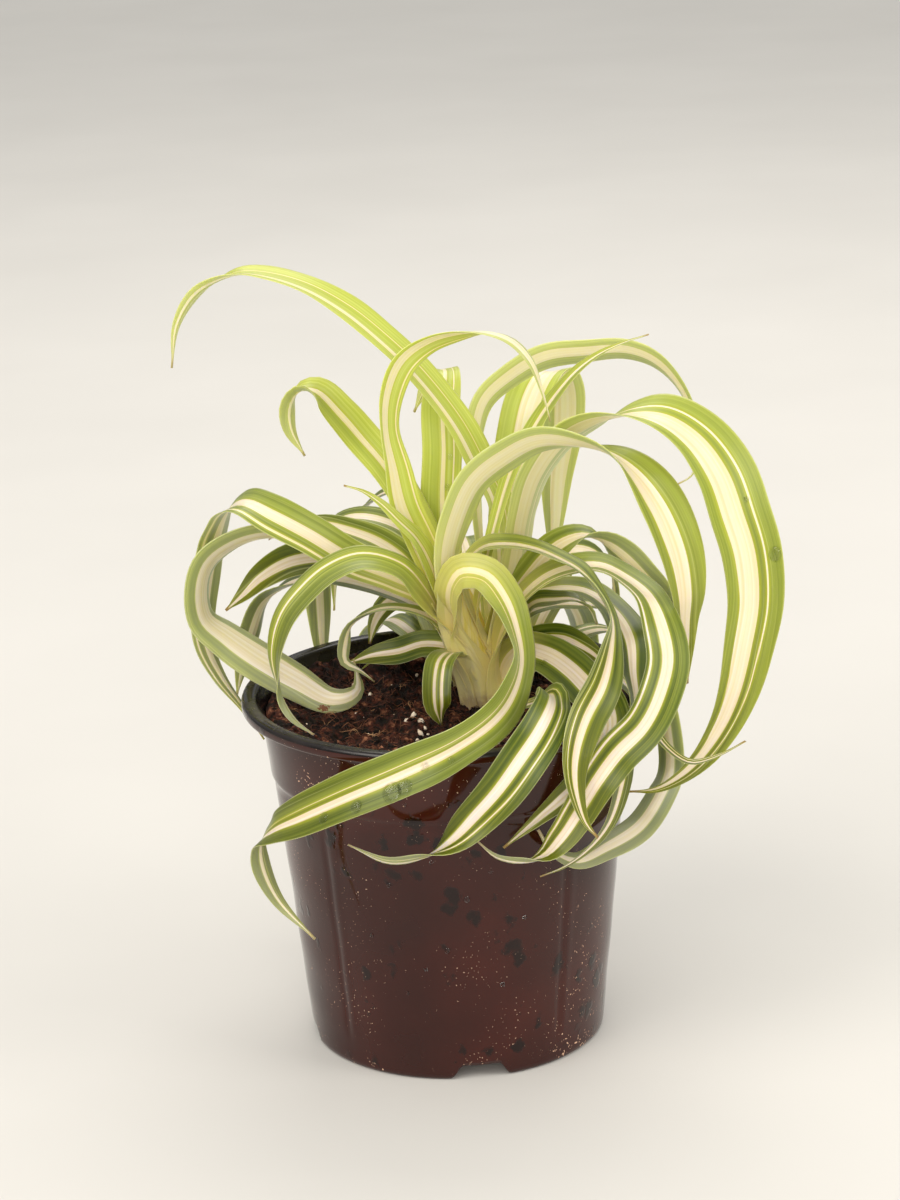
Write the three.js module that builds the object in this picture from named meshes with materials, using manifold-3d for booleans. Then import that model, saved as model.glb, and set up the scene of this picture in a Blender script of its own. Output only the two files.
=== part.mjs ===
// Potted curly spider plant: thin nursery pot, peat, crown of three shoots and the arching leaves.
// Millimetres, +Z up. The origin is the centre of the pot's underside.
import * as THREE from 'three';
import { mergeVertices } from 'three/addons/utils/BufferGeometryUtils.js';
import Module from 'manifold-3d';

const wasm = await Module();
wasm.setup();

// Driving sizes of the pot
const POT_HEIGHT = 105;
const RIM_RADIUS = 60;
const RIM_WIDTH = 3.5;
const RIM_DEPTH = 3;
const BAND_TOP_RADIUS = 54.5;
const BAND_FOOT_RADIUS = 52.5;
const BAND_FOOT_Z = 83;
const STEP_DROP = 2;
const STEP_IN = 1;
const FOOT_RADIUS = 43.5;
const FOOT_ROUND = 2;
const FLARE = 0.3;
const WALL = 1.2;
const FLOOR = 6;
const POT_SIDES = 72;
const SLOT_COUNT = 4;
const SLOT_FOOT_WIDTH = 17;
const SLOT_TOP_WIDTH = 11.5;
const SLOT_HEIGHT = 4.6;
const SLOT_FROM = 27;
const FIRST_SLOT_DEGREES = -82;
const DRAIN_RADIUS = 3;
const DRAIN_AT = 33;
const DRAIN_SIDES = 12;

// Driving sizes of the plant and its peat
const GAP = 0.3;
const SOIL_TOP = 96.5;
const SOIL_EDGE_TOP = 101.5;
const DISH_FROM = 38;
const DISH_TO = 52;
const EDGE_CHAMFER = 0.6;
const SOIL_RINGS = 12;
const SOIL_SIDES = 48;
const SOIL_RELIEF = 1.1;
const SHOOT_SIDES = 12;
const RINGS_PER_STATION = 2;
const BLADE_THICK = 0.8;
const TIP_WIDTH = 1.4;
const SEGMENT_LENGTH = 7.3;
const FOLD_OUTSIDE = 0.2;
const FOLD_AT_BASE = 0.5;
const FOLD_OPENS_BY = 0.15;
const WIDENS_OVER = 0.35;
const TIP_SHARPNESS = 1.8;
const BASE_REACH = 2;
const SLIVER = 0.03;
const WELD = 1e-4;

// Each shoot of the crown: [x, y, z, radius] from its foot in the peat to its top
const SHOOTS = [
  [[12, 13, 84, 6.8], [12, 12, 97, 7], [9, 11, 110, 6.2], [4, 8, 122, 5.8], [1, 5, 134, 4],
    [-1, 4, 141, 1.4]],
  [[11, 24, 84, 6.5], [10, 25, 97, 7], [8, 27, 110, 6], [6, 28, 122, 4], [5, 29, 129, 1.4]],
  [[18, 25, 86, 4.5], [19, 26, 97, 5.5], [20, 27, 107, 5], [22, 29, 115, 3.2], [23, 30, 119, 1.4]],
];

// The direction that a leaf's upper face turns from: up and toward the front
const FRONT = [0, -0.955, 0.296];

// Each leaf: widest width, share of it at the base, share of the length where the tip's taper starts and
// share where it starts to widen, the direction its turns are measured from, and its route as
// [x, y, z, turn in degrees].
const LEAVES = [
  { name: 'leaf_top_long_left', wide: 13, base: 0.6, taper: 0.6, waist: 0, faces: FRONT,
    route: [
      [13, 13, 110, 60], [17, 18, 127, 55], [18, 21, 141, 50], [17, 20, 155, 48], [12, 18, 167, 46],
      [6, 16, 180, 46], [-5, 14, 196, 48], [-15, 12, 207, 52], [-25, 11, 216, 56], [-36, 10, 223, 60],
      [-47, 9, 227, 66], [-55, 8, 228, 76], [-62, 7, 226, 95], [-68, 6, 222, 115], [-73, 5, 214, 122],
      [-75, 4, 202, 122]] },
  { name: 'leaf_top_left', wide: 11.5, base: 0.6, taper: 0.7, waist: 0, faces: FRONT,
    route: [
      [5, 13, 117, 55], [0, 18, 129, 55], [-4, 19, 143, 45], [-10, 22, 156, 38], [-16, 25, 166, 30],
      [-22, 28, 173, 28], [-28, 27, 181, 28], [-35, 25, 189, 45], [-40, 23, 190, 85],
      [-43, 21, 186, 120], [-43, 20, 179, 140], [-39, 19, 171, 140]] },
  { name: 'leaf_top_upright', wide: 12, base: 0.6, taper: 0.6, waist: 0, faces: [1, 0, 0],
    route: [
      [6, 24, 112, -90], [1, 23, 125, -90], [0, 26, 139, -90], [0, 29, 154, -90], [1, 31, 168, -90],
      [1, 34, 180, -90], [2, 39, 187, -90], [2, 47, 189, -90], [-1, 54, 186, -80], [-4, 58, 180, -70],
      [-7, 60, 173, -60]] },
  { name: 'leaf_top_behind', wide: 14.5, base: 0.6, taper: 0.6, waist: 0, faces: [0.958, -0.287, 0],
    route: [
      [18, 26, 109, -90], [18, 32, 124, -90], [20, 37, 138, -90], [22, 41, 153, -90],
      [24, 44, 167, -90], [27, 48, 178, -90], [31, 54, 184, -90], [35, 62, 184, -90],
      [38, 71, 176, -90], [38, 77, 162, -90], [36, 81, 145, -90], [35, 83, 128, -90],
      [34, 83, 113, -90]] },
  { name: 'leaf_top_right', wide: 10.5, base: 0.6, taper: 0.45, waist: 0, faces: FRONT,
    route: [
      [11, 24, 111, -100], [12, 28, 132, -100], [11, 31, 153, -110], [11, 32, 171, -120],
      [14, 33, 182, -125], [22, 34, 189, -128], [32, 35, 194, -130], [44, 36, 195, -130],
      [56, 37, 195, -125], [65, 38, 191, -120], [72, 38, 183, -115], [76, 38, 173, -112],
      [77, 38, 163, -112], [75, 38, 156, -120], [70, 38, 153, -125]] },
  { name: 'leaf_top_thin', wide: 7, base: 0.6, taper: 0.45, waist: 0, faces: FRONT,
    route: [
      [7, 6, 123, -60], [12, 7, 138, -60], [16, 8, 153, -60], [21, 8, 168, -55], [27, 8, 179, -50],
      [33, 8, 188, -50], [40, 8, 196, -55], [47, 8, 201, -60], [54, 8, 204, -60], [61, 8, 206, -60]] },
  { name: 'leaf_middle_hook', wide: 10, base: 0.9, taper: 0.5, waist: 0, faces: FRONT,
    route: [
      [2, 4, 127, 15], [-2, 2, 139, 15], [-6, 0, 150, 18], [-10, -3, 161, 25], [-12, -4, 172, 40],
      [-14, -5, 184, 55], [-13, -5, 194, 50], [-9, -5, 203, 45], [-2, -4, 208, 55], [6, -3, 210, 70],
      [15, -2, 210, 100], [22, 0, 207, 118], [27, 1, 201, 122], [30, 2, 192, 118], [32, 2, 183, 110]] },
  { name: 'leaf_middle_spike', wide: 8, base: 1, taper: 0.1, waist: 0, faces: FRONT,
    route: [
      [0, 5, 128, 50], [-3, -2, 142, 50], [-7, -7, 152, 45], [-12, -12, 159, 45], [-17, -14, 165, 45],
      [-22, -15, 169, 50], [-27, -16, 171, 55]] },
  { name: 'leaf_right_inner', wide: 15.5, base: 0.6, taper: 0.62, waist: 0, faces: FRONT,
    route: [
      [3, 4, 124, -120], [2, -3, 135, -125], [2, -5, 146, -125], [5, -8, 158, -125],
      [10, -11, 169, -122], [19, -14, 177, -120], [28, -17, 182, -115], [38, -19, 182, -102],
      [47, -21, 180, -80], [55, -22, 174, -52], [62, -23, 164, -28], [67, -24, 151, -15],
      [69, -22, 138, -20], [69, -17, 127, -30], [69, -16, 117, -35], [69, -14, 108, -35]] },
  { name: 'leaf_right_long', wide: 17, base: 0.6, taper: 0.6, waist: 0, faces: FRONT,
    route: [
      [13, 11, 112, -110], [19, 14, 127, -118], [22, 12, 141, -125], [24, 7, 154, -125],
      [28, 0, 168, -125], [35, -6, 179, -118], [44, -11, 186, -102], [55, -14, 189, -70],
      [64, -16, 188, -42], [73, -18, 182, -24], [80, -20, 172, -10], [84, -22, 160, 0],
      [87, -23, 149, 5], [88, -23, 135, 5], [86, -23, 122, 2], [83, -22, 108, -5], [79, -20, 97, -12],
      [73, -18, 87, -20], [66, -16, 80, -30], [59, -14, 76, -40], [51, -12, 75, -45]] },
  { name: 'leaf_right_3', wide: 12, base: 0.6, taper: 0.6, waist: 0, faces: FRONT,
    route: [
      [13, 9, 111, -60], [18, 8, 125, -55], [25, 7, 136, -45], [34, 7, 145, -45], [42, 6, 148, -75],
      [48, 4, 146, -115], [53, 3, 142, -130], [58, 1, 137, -130], [63, 1, 131, -130],
      [67, 2, 122, -130], [71, 3, 113, -130]] },
  { name: 'leaf_right_4', wide: 11, base: 0.7, taper: 0.72, waist: 0, faces: FRONT,
    route: [
      [7, 9, 121, -90], [6, 8, 133, -90], [7, 6, 141, -80], [12, 1, 147, -70], [19, -4, 149, -65],
      [26, -9, 149, -65], [33, -17, 148, -68], [39, -24, 146, -72], [44, -30, 141, -78],
      [47, -36, 135, -75], [46, -43, 128, -50], [43, -52, 121, -25], [38, -59, 114, -15],
      [35, -64, 107, -20], [34, -66, 100, -30], [35, -67, 92, -40], [37, -67, 86, -40],
      [40, -67, 82, -40]] },
  { name: 'leaf_right_5', wide: 12.5, base: 0.6, taper: 0.66, waist: 0, faces: FRONT,
    route: [
      [11, 7, 110, -70], [17, 2, 123, -65], [22, -2, 132, -62], [29, -5, 139, -60], [37, -9, 143, -60],
      [45, -12, 144, -60], [52, -15, 141, -58], [58, -22, 137, -45], [61, -30, 130, -20],
      [62, -35, 122, -8], [59, -42, 114, -5], [54, -50, 108, -8], [46, -58, 103, -10],
      [40, -61, 96, -10], [35, -60, 87, -5], [30, -61, 80, 10], [25, -61, 75, 60], [19, -62, 74, 115],
      [12, -63, 76, 125], [7, -64, 81, 125]] },
  { name: 'leaf_right_6', wide: 8, base: 0.6, taper: 0.6, waist: 0, faces: FRONT,
    route: [
      [14, 14, 107, -50], [21, 16, 119, -52], [26, 12, 126, -55], [32, 5, 129, -58], [38, 1, 130, -70],
      [42, -1, 128, -105], [44, -2, 123, -150]] },
  { name: 'leaf_right_7', wide: 8, base: 0.6, taper: 0.6, waist: 0, faces: FRONT,
    route: [
      [18, 25, 106, -50], [23, 24, 118, -55], [31, 23, 122, -60], [40, 23, 122, -60],
      [46, 22, 121, -75], [49, 20, 117, -110], [50, 18, 111, -150], [48, 16, 105, -160]] },
  { name: 'leaf_right_8', wide: 12, base: 0.6, taper: 0.55, waist: 0, faces: FRONT,
    route: [
      [17, 28, 107, -70], [22, 24, 122, -65], [31, 19, 128, -60], [41, 14, 129, -60],
      [49, 3, 126, -50], [53, -13, 122, -25], [53, -26, 116, -45], [53, -37, 109, -60],
      [50, -42, 100, -60], [48, -46, 90, -55], [44, -50, 80, -58], [38, -54, 74, -60],
      [31, -57, 70, -65], [24, -59, 68, -65]] },
  { name: 'leaf_right_9', wide: 9, base: 0.6, taper: 0.72, waist: 0, faces: FRONT,
    route: [
      [19, 26, 106, -80], [25, 31, 116, -85], [35, 35, 121, -95], [48, 36, 117, -110],
      [58, 30, 108, -125], [63, 22, 96, -135], [65, 14, 85, -140], [65, 5, 76, -145],
      [61, -8, 72, -150], [54, -22, 68, -150], [44, -35, 67, -150], [35, -45, 67, -150],
      [29, -49, 71, -160], [26, -51, 75, -170], [24, -51, 79, -170]] },
  { name: 'leaf_right_10', wide: 8, base: 0.6, taper: 0.4, waist: 0, faces: FRONT,
    route: [
      [20, 23, 103, -60], [25, 22, 110, -60], [32, 20, 114, -60], [40, 12, 112, -55],
      [47, -3, 110, -45], [53, -20, 108, -50], [57, -32, 102, -60], [62, -36, 96, -65],
      [68, -36, 92, -60], [76, -34, 93, -60], [84, -31, 96, -60]] },
  { name: 'leaf_right_11', wide: 10, base: 0.6, taper: 0.5, waist: 0, faces: FRONT,
    route: [
      [16, 12, 101, -40], [20, 7, 111, -40], [26, 4, 117, -38], [33, 0, 119, -35], [39, -6, 118, -30],
      [44, -10, 115, -30], [47, -13, 110, -30]] },
  { name: 'leaf_right_12', wide: 13, base: 0.6, taper: 0.5, waist: 0, faces: FRONT,
    route: [
      [13, 11, 99, -30], [17, 6, 108, -30], [22, 1, 115, -28], [29, -7, 116, -22], [35, -15, 114, -18],
      [40, -24, 111, -15], [44, -35, 109, -10], [44, -48, 106, 0], [39, -53, 96, 10],
      [32, -54, 90, 20], [24, -56, 84, 30], [14, -59, 77, 35]] },
  { name: 'leaf_right_13', wide: 6, base: 0.6, taper: 0.3, waist: 0, faces: FRONT,
    route: [
      [17, 28, 101, -80], [19, 42, 107, -82], [25, 54, 116, -85], [33, 58, 124, -90],
      [38, 60, 123, -100], [39, 60, 120, -110], [37, 59, 116, -120], [33, 58, 117, -120]] },
  { name: 'leaf_right_14', wide: 10, base: 0.6, taper: 0.5, waist: 0, faces: FRONT,
    route: [
      [17, 28, 108, -60], [23, 34, 120, -55], [31, 40, 129, -50], [39, 43, 133, -50],
      [46, 45, 131, -60], [51, 46, 125, -90], [52, 46, 117, -120], [52, 46, 107, -130]] },
  { name: 'leaf_front_long', wide: 13, base: 0.6, taper: 0.62, waist: 0, faces: FRONT,
    route: [
      [3, 4, 123, -60], [1, -9, 133, -50], [2, -13, 140, -40], [5, -15, 144, -25], [12, -19, 144, -25],
      [17, -25, 139, -30], [20, -32, 132, -50], [21, -41, 125, -60], [18, -51, 119, -45],
      [12, -62, 115, -35], [1, -69, 110, -30], [-14, -71, 104, 0], [-29, -68, 97, 18],
      [-42, -61, 89, 25], [-50, -54, 83, 55], [-54, -48, 77, 105], [-54, -45, 69, 140],
      [-50, -42, 57, 150], [-40, -45, 46, 150]] },
  { name: 'leaf_front_curl', wide: 8.5, base: 0.75, taper: 0.8, waist: 0, faces: [0, -0.35, 0.94],
    route: [
      [5, 8, 113, 10], [2, 1, 115, 8], [0, -6, 117, 5], [-2, -12, 116, 0], [-3, -16, 111, -4],
      [-3, -18, 105, -6], [-2, -17, 99, -8]] },
  { name: 'leaf_front_hook', wide: 6.5, base: 0.6, taper: 0.5, waist: 0, faces: FRONT,
    route: [
      [4, 6, 115, 60], [-3, 2, 125, 60], [-12, -2, 130, 70], [-20, -6, 131, 80], [-27, -9, 128, 100],
      [-29, -10, 122, 140], [-29, -10, 117, 150], [-25, -9, 114, 130], [-21, -8, 110, 110]] },
  { name: 'leaf_front_right', wide: 13.5, base: 0.4, taper: 0.55, waist: 0.26, faces: FRONT,
    route: [
      [12, 7, 99, -70], [16, -4, 100, -70], [20, -17, 104, -70], [25, -31, 110, -70],
      [29, -43, 116, -60], [29, -54, 116, -15], [25, -62, 111, 0], [20, -66, 105, 0], [14, -67, 97, 0],
      [7, -66, 89, 5], [0, -65, 82, 40], [-8, -63, 77, 100], [-18, -61, 75, 120], [-29, -60, 80, 120]] },
  { name: 'leaf_front_left', wide: 11, base: 0.7, taper: 0.5, waist: 0, faces: FRONT,
    route: [
      [1, 5, 122, 60], [-6, -5, 135, 55], [-13, -11, 145, 55], [-23, -15, 149, 52],
      [-32, -19, 147, 48], [-39, -22, 142, 45], [-45, -24, 135, 45], [-48, -26, 126, 52],
      [-48, -27, 119, 70], [-47, -28, 112, 110], [-44, -30, 107, 130], [-38, -33, 103, 130]] },
  { name: 'leaf_front_low', wide: 8.5, base: 0.8, taper: 0.55, waist: 0, faces: FRONT,
    route: [
      [7, 7, 110, 40], [2, 8, 114, 30], [-6, 11, 115, 25], [-14, 14, 112, 25], [-22, 17, 110, 30],
      [-29, 20, 107, 35]] },
  { name: 'leaf_left_1', wide: 14, base: 0.6, taper: 0.7, waist: 0, faces: FRONT,
    route: [
      [5, 13, 112, 60], [-1, 12, 125, 55], [-13, 11, 136, 60], [-27, 11, 143, 78], [-41, 10, 149, 100],
      [-52, 8, 151, 105], [-61, 6, 149, 110], [-68, 5, 144, 115], [-71, 5, 136, 118],
      [-70, 6, 126, 125], [-64, 7, 120, 140], [-55, 7, 113, 155], [-44, 6, 106, 162],
      [-35, 4, 101, 162], [-29, 2, 102, 170], [-26, 1, 105, 200], [-26, 1, 109, 230],
      [-27, 2, 114, 240]] },
  { name: 'leaf_left_2', wide: 14, base: 0.75, taper: 0.45, waist: 0, faces: FRONT,
    route: [
      [2, 8, 119, 40], [-4, 6, 131, 38], [-14, 3, 138, 36], [-27, 0, 145, 34], [-38, -2, 153, 34],
      [-48, -2, 159, 36], [-56, 3, 162, 55], [-62, 11, 158, 90], [-66, 17, 149, 120],
      [-69, 20, 137, 130], [-71, 21, 125, 135], [-71, 20, 114, 135], [-67, 19, 104, 130],
      [-61, 18, 95, 125], [-55, 17, 85, 120]] },
  { name: 'leaf_left_3', wide: 13, base: 0.6, taper: 0.65, waist: 0, faces: FRONT,
    route: [
      [5, 25, 110, 70], [-4, 24, 124, 60], [-17, 22, 134, 50], [-32, 19, 140, 45], [-44, 17, 140, 35],
      [-53, 15, 136, 30], [-59, 13, 131, 30], [-64, 12, 127, 30]] },
  { name: 'leaf_left_4', wide: 11, base: 0.8, taper: 0.5, waist: 0, faces: FRONT,
    route: [
      [4, 13, 114, 60], [-4, 18, 126, 50], [-10, 20, 137, 42], [-18, 23, 143, 40], [-27, 23, 147, 42],
      [-36, 21, 150, 50], [-44, 22, 149, 60], [-51, 23, 145, 70]] },
  { name: 'leaf_left_5', wide: 10, base: 0.6, taper: 0.65, waist: 0, faces: FRONT,
    route: [
      [5, 29, 110, 60], [-1, 33, 129, 55], [-11, 35, 143, 52], [-23, 38, 147, 55], [-32, 43, 144, 75],
      [-37, 46, 135, 110], [-38, 50, 123, 140], [-38, 53, 111, 150], [-38, 55, 100, 150],
      [-37, 56, 88, 150]] },
  { name: 'leaf_left_6', wide: 10, base: 0.6, taper: 0.5, waist: 0, faces: FRONT,
    route: [
      [6, 31, 109, 70], [2, 42, 131, 70], [-4, 46, 148, 70], [-13, 48, 152, 75], [-22, 53, 147, 85],
      [-29, 58, 137, 105], [-33, 62, 124, 125], [-34, 64, 110, 130]] },
  { name: 'leaf_left_7', wide: 8, base: 0.6, taper: 0.55, waist: 0, faces: FRONT,
    route: [
      [6, 30, 107, 50], [-1, 37, 116, 40], [-9, 40, 120, 30], [-16, 42, 119, 20], [-21, 42, 113, 10],
      [-23, 41, 106, 5]] },
  { name: 'leaf_left_8', wide: 12, base: 0.6, taper: 0.65, waist: 0, faces: FRONT,
    route: [
      [5, 29, 107, 70], [-6, 31, 119, 65], [-19, 32, 126, 65], [-34, 32, 130, 68], [-46, 31, 129, 80],
      [-54, 30, 124, 110], [-58, 28, 115, 130], [-61, 27, 105, 135], [-63, 26, 96, 135]] },
  { name: 'leaf_back_1', wide: 12, base: 0.6, taper: 0.45, waist: 0, faces: [0.97, -0.24, 0],
    route: [
      [14, 28, 99, -90], [18, 42, 112, -90], [20, 55, 117, -90], [22, 67, 110, -90], [23, 74, 95, -90],
      [23, 76, 78, -90], [21, 74, 62, -90]] },
  { name: 'leaf_back_2', wide: 13, base: 0.6, taper: 0.45, waist: 0, faces: [0.93, 0.37, 0],
    route: [
      [7, 28, 99, -90], [-1, 40, 109, -90], [-4, 54, 114, -90], [-6, 67, 107, -90], [-8, 75, 92, -90],
      [-8, 77, 74, -90], [-6, 75, 58, -90]] },
  { name: 'leaf_back_3', wide: 10, base: 0.6, taper: 0.45, waist: 0, faces: [0.71, 0.71, 0],
    route: [
      [6, 26, 99, -90], [-8, 42, 107, -90], [-17, 56, 109, -90], [-24, 67, 100, -90],
      [-28, 73, 86, -90], [-28, 74, 70, -90]] },
  { name: 'leaf_back_4', wide: 12, base: 0.6, taper: 0.45, waist: 0, faces: [0.71, -0.71, 0],
    route: [
      [19, 28, 99, -90], [29, 40, 112, -90], [35, 52, 116, -90], [41, 63, 107, -90], [44, 69, 91, -90],
      [45, 70, 72, -90], [43, 68, 56, -90]] },
  { name: 'leaf_back_5', wide: 11, base: 0.6, taper: 0.45, waist: 0, faces: [0.42, -0.91, 0],
    route: [
      [19, 27, 99, -90], [36, 36, 106, -90], [49, 44, 107, -90], [60, 50, 98, -90], [66, 53, 84, -90],
      [67, 52, 68, -90]] },
  { name: 'leaf_back_6', wide: 13.5, base: 0.6, taper: 0.5, waist: 0, faces: [1, 0, 0],
    route: [
      [10, 28, 101, -90], [9, 42, 117, -90], [7, 55, 128, -90], [5, 69, 131, -90], [4, 81, 120, -90],
      [3, 86, 102, -90], [1, 85, 84, -90]] },
  { name: 'leaf_back_7', wide: 9, base: 0.6, taper: 0.45, waist: 0, faces: [0.42, 0.91, 0],
    route: [
      [8, 21, 99, -90], [-6, 25, 108, -90], [-18, 29, 107, -90], [-26, 31, 101, -90]] },
];

const MATERIALS = {
  leaf: new THREE.MeshStandardMaterial({ color: 0x9cb84a, roughness: 0.45, metalness: 0 }),
  shoot: new THREE.MeshStandardMaterial({ color: 0xd9d79a, roughness: 0.5, metalness: 0 }),
  peat: new THREE.MeshStandardMaterial({ color: 0x2a1a12, roughness: 0.95, metalness: 0 }),
  pot: new THREE.MeshStandardMaterial({ color: 0x3a211c, roughness: 0.2, metalness: 0 }),
};

const group = new THREE.Group();
group.name = 'potted_spider_plant';

function addPart(name, geometry, material) {
  const mesh = new THREE.Mesh(geometry, material.clone());
  mesh.name = name;
  group.add(mesh);
}

// Solids go to and from the boolean kernel as plain indexed triangles.
function toSolid(geometry) {
  const bare = geometry.clone();
  bare.deleteAttribute('normal');
  bare.deleteAttribute('uv');
  const merged = mergeVertices(bare, WELD);
  const vertProperties = new Float32Array(merged.attributes.position.array);
  const triVerts = new Uint32Array(merged.index.array);
  return new wasm.Manifold(new wasm.Mesh({ numProp: 3, vertProperties, triVerts }));
}

function toGeometry(solid) {
  const mesh = solid.getMesh();
  const geometry = new THREE.BufferGeometry();
  geometry.setAttribute('position', new THREE.BufferAttribute(new Float32Array(mesh.vertProperties), 3));
  geometry.setIndex(new THREE.BufferAttribute(new Uint32Array(mesh.triVerts), 1));
  geometry.computeVertexNormals();
  return geometry;
}

function largestBody(solid) {
  const bodies = solid.decompose();
  return bodies.reduce((best, body) => (body.volume() > best.volume() ? body : best));
}

// A cut blade keeps its largest body without slivers, looked at again once its points are rounded.
function cleanBlade(solid) {
  const tidied = largestBody(solid).simplify(SLIVER);
  return toGeometry(largestBody(toSolid(toGeometry(tidied))));
}

// Closed tube of rings: every ring has the same number of points, and both ends get a fan.
function closedRings(rings) {
  const sides = rings[0].length;
  const corners = rings.flat().flatMap((p) => [p.x, p.y, p.z]);
  const index = [];
  for (let ring = 0; ring < rings.length - 1; ring += 1) {
    for (let side = 0; side < sides; side += 1) {
      const a = ring * sides + side;
      const b = ring * sides + ((side + 1) % sides);
      index.push(a, b, a + sides, b, b + sides, a + sides);
    }
  }
  const last = (rings.length - 1) * sides;
  for (let side = 1; side < sides - 1; side += 1) {
    index.push(0, side + 1, side);
    index.push(last, last + side, last + side + 1);
  }
  const geometry = new THREE.BufferGeometry();
  geometry.setAttribute('position', new THREE.Float32BufferAttribute(corners, 3));
  geometry.setIndex(index);
  return geometry;
}

// Repeatable noise from three crossed waves, about -1 to 1.
function bumps(x, y) {
  const coarse = Math.sin(0.55 * x + 1.3) * Math.cos(0.47 * y - 0.6);
  const middle = Math.sin(1.13 * x - 0.7 * y + 2.1);
  const fine = Math.sin(1.9 * y + 0.8 * x + 4);
  return 0.45 * coarse + 0.35 * middle + 0.2 * fine;
}

// Thin-walled pot: flanged rim, a soft step under the band, drain channels and holes in the underside.
function potSolid() {
  const under = POT_HEIGHT - RIM_DEPTH;
  const stepZ = BAND_FOOT_Z - STEP_DROP;
  const stepRadius = BAND_FOOT_RADIUS - STEP_IN;
  const inner = RIM_RADIUS - RIM_WIDTH;
  const outline = [
    [0, 0], [FOOT_RADIUS - FOOT_ROUND, 0], [FOOT_RADIUS - 0.3 * FOOT_ROUND, 0.3 * FOOT_ROUND],
    [FOOT_RADIUS, FOOT_ROUND], [stepRadius, stepZ], [BAND_FOOT_RADIUS, BAND_FOOT_Z],
    [BAND_TOP_RADIUS, under - 1], [RIM_RADIUS - 1, under - 0.4], [RIM_RADIUS, under],
    [RIM_RADIUS, POT_HEIGHT - 1], [RIM_RADIUS - 1, POT_HEIGHT], [inner, POT_HEIGHT],
    [inner - 0.8, POT_HEIGHT - 0.8], [BAND_TOP_RADIUS - WALL, under - 1.5],
    [BAND_FOOT_RADIUS - WALL, BAND_FOOT_Z], [stepRadius - WALL, stepZ],
    [FOOT_RADIUS - WALL + FLARE, FLOOR], [0, FLOOR],
  ].map(([r, z]) => new THREE.Vector2(r, z));
  const shell = toSolid(new THREE.LatheGeometry(outline, POT_SIDES).rotateX(Math.PI / 2));
  const cutters = [];
  for (let slot = 0; slot < SLOT_COUNT; slot += 1) {
    const turn = THREE.MathUtils.degToRad(FIRST_SLOT_DEGREES + (360 / SLOT_COUNT) * slot);
    const channel = new THREE.Shape([
      new THREE.Vector2(-SLOT_FOOT_WIDTH / 2, 0), new THREE.Vector2(-SLOT_FOOT_WIDTH / 2, -1),
      new THREE.Vector2(SLOT_FOOT_WIDTH / 2, -1), new THREE.Vector2(SLOT_FOOT_WIDTH / 2, 0),
      new THREE.Vector2(SLOT_TOP_WIDTH / 2, SLOT_HEIGHT), new THREE.Vector2(-SLOT_TOP_WIDTH / 2, SLOT_HEIGHT),
    ]);
    const length = FOOT_RADIUS + 5 - SLOT_FROM;
    const bar = new THREE.ExtrudeGeometry(channel, { depth: length, bevelEnabled: false });
    bar.rotateX(Math.PI / 2).rotateZ(Math.PI).translate(0, SLOT_FROM, 0).rotateZ(turn - Math.PI / 2);
    const drill = new THREE.CylinderGeometry(DRAIN_RADIUS, DRAIN_RADIUS, 2 * FLOOR, DRAIN_SIDES);
    drill.rotateX(Math.PI / 2).translate(0, DRAIN_AT, SLOT_HEIGHT).rotateZ(turn - Math.PI / 2);
    cutters.push(toSolid(bar), toSolid(drill));
  }
  return cutters.reduce((pot, cutter) => pot.subtract(cutter), shell);
}

// Inner radius of the pot at a height, from its foot to the band
function potInnerRadius(z) {
  const stepZ = BAND_FOOT_Z - STEP_DROP;
  const stepRadius = BAND_FOOT_RADIUS - STEP_IN - WALL;
  if (z <= stepZ) {
    return THREE.MathUtils.mapLinear(z, FLOOR, stepZ, FOOT_RADIUS - WALL + FLARE, stepRadius);
  }
  if (z <= BAND_FOOT_Z) {
    return THREE.MathUtils.mapLinear(z, stepZ, BAND_FOOT_Z, stepRadius, BAND_FOOT_RADIUS - WALL);
  }
  const under = POT_HEIGHT - RIM_DEPTH - 1.5;
  return THREE.MathUtils.mapLinear(z, BAND_FOOT_Z, under, BAND_FOOT_RADIUS - WALL, BAND_TOP_RADIUS - WALL);
}

// Height of the peat's top: flat in the middle, dished up toward the wall, and lumpy all over.
function soilTop(x, y) {
  const dish = THREE.MathUtils.smoothstep(Math.hypot(x, y), DISH_FROM, DISH_TO);
  return THREE.MathUtils.lerp(SOIL_TOP, SOIL_EDGE_TOP, dish) + SOIL_RELIEF * bumps(x, y);
}

// Peat filling the pot, with a crumbly top; the crown's place is cut from it later.
function soilSolid() {
  const ring = (radius, height) => {
    const points = [];
    for (let side = 0; side < SOIL_SIDES; side += 1) {
      const angle = (2 * Math.PI * side) / SOIL_SIDES;
      const x = radius * Math.cos(angle);
      const y = radius * Math.sin(angle);
      points.push(new THREE.Vector3(x, y, height(x, y)));
    }
    return points;
  };
  const wallTop = SOIL_EDGE_TOP - 1.5 * SOIL_RELIEF;
  const rings = [FLOOR + GAP, BAND_FOOT_Z - STEP_DROP, BAND_FOOT_Z, wallTop]
    .map((z) => ring(potInnerRadius(z) - GAP, () => z));
  const edge = potInnerRadius(wallTop) - GAP - EDGE_CHAMFER;
  for (let step = 0; step < SOIL_RINGS; step += 1) {
    rings.push(ring(edge * (1 - step / SOIL_RINGS), soilTop));
  }
  return toSolid(closedRings(rings));
}

// Centripetal curve through the places of a list of [x, y, z, ...]
function curveThrough(stations) {
  const places = stations.map(([x, y, z]) => new THREE.Vector3(x, y, z));
  return new THREE.CatmullRomCurve3(places, false, 'centripetal');
}

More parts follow.
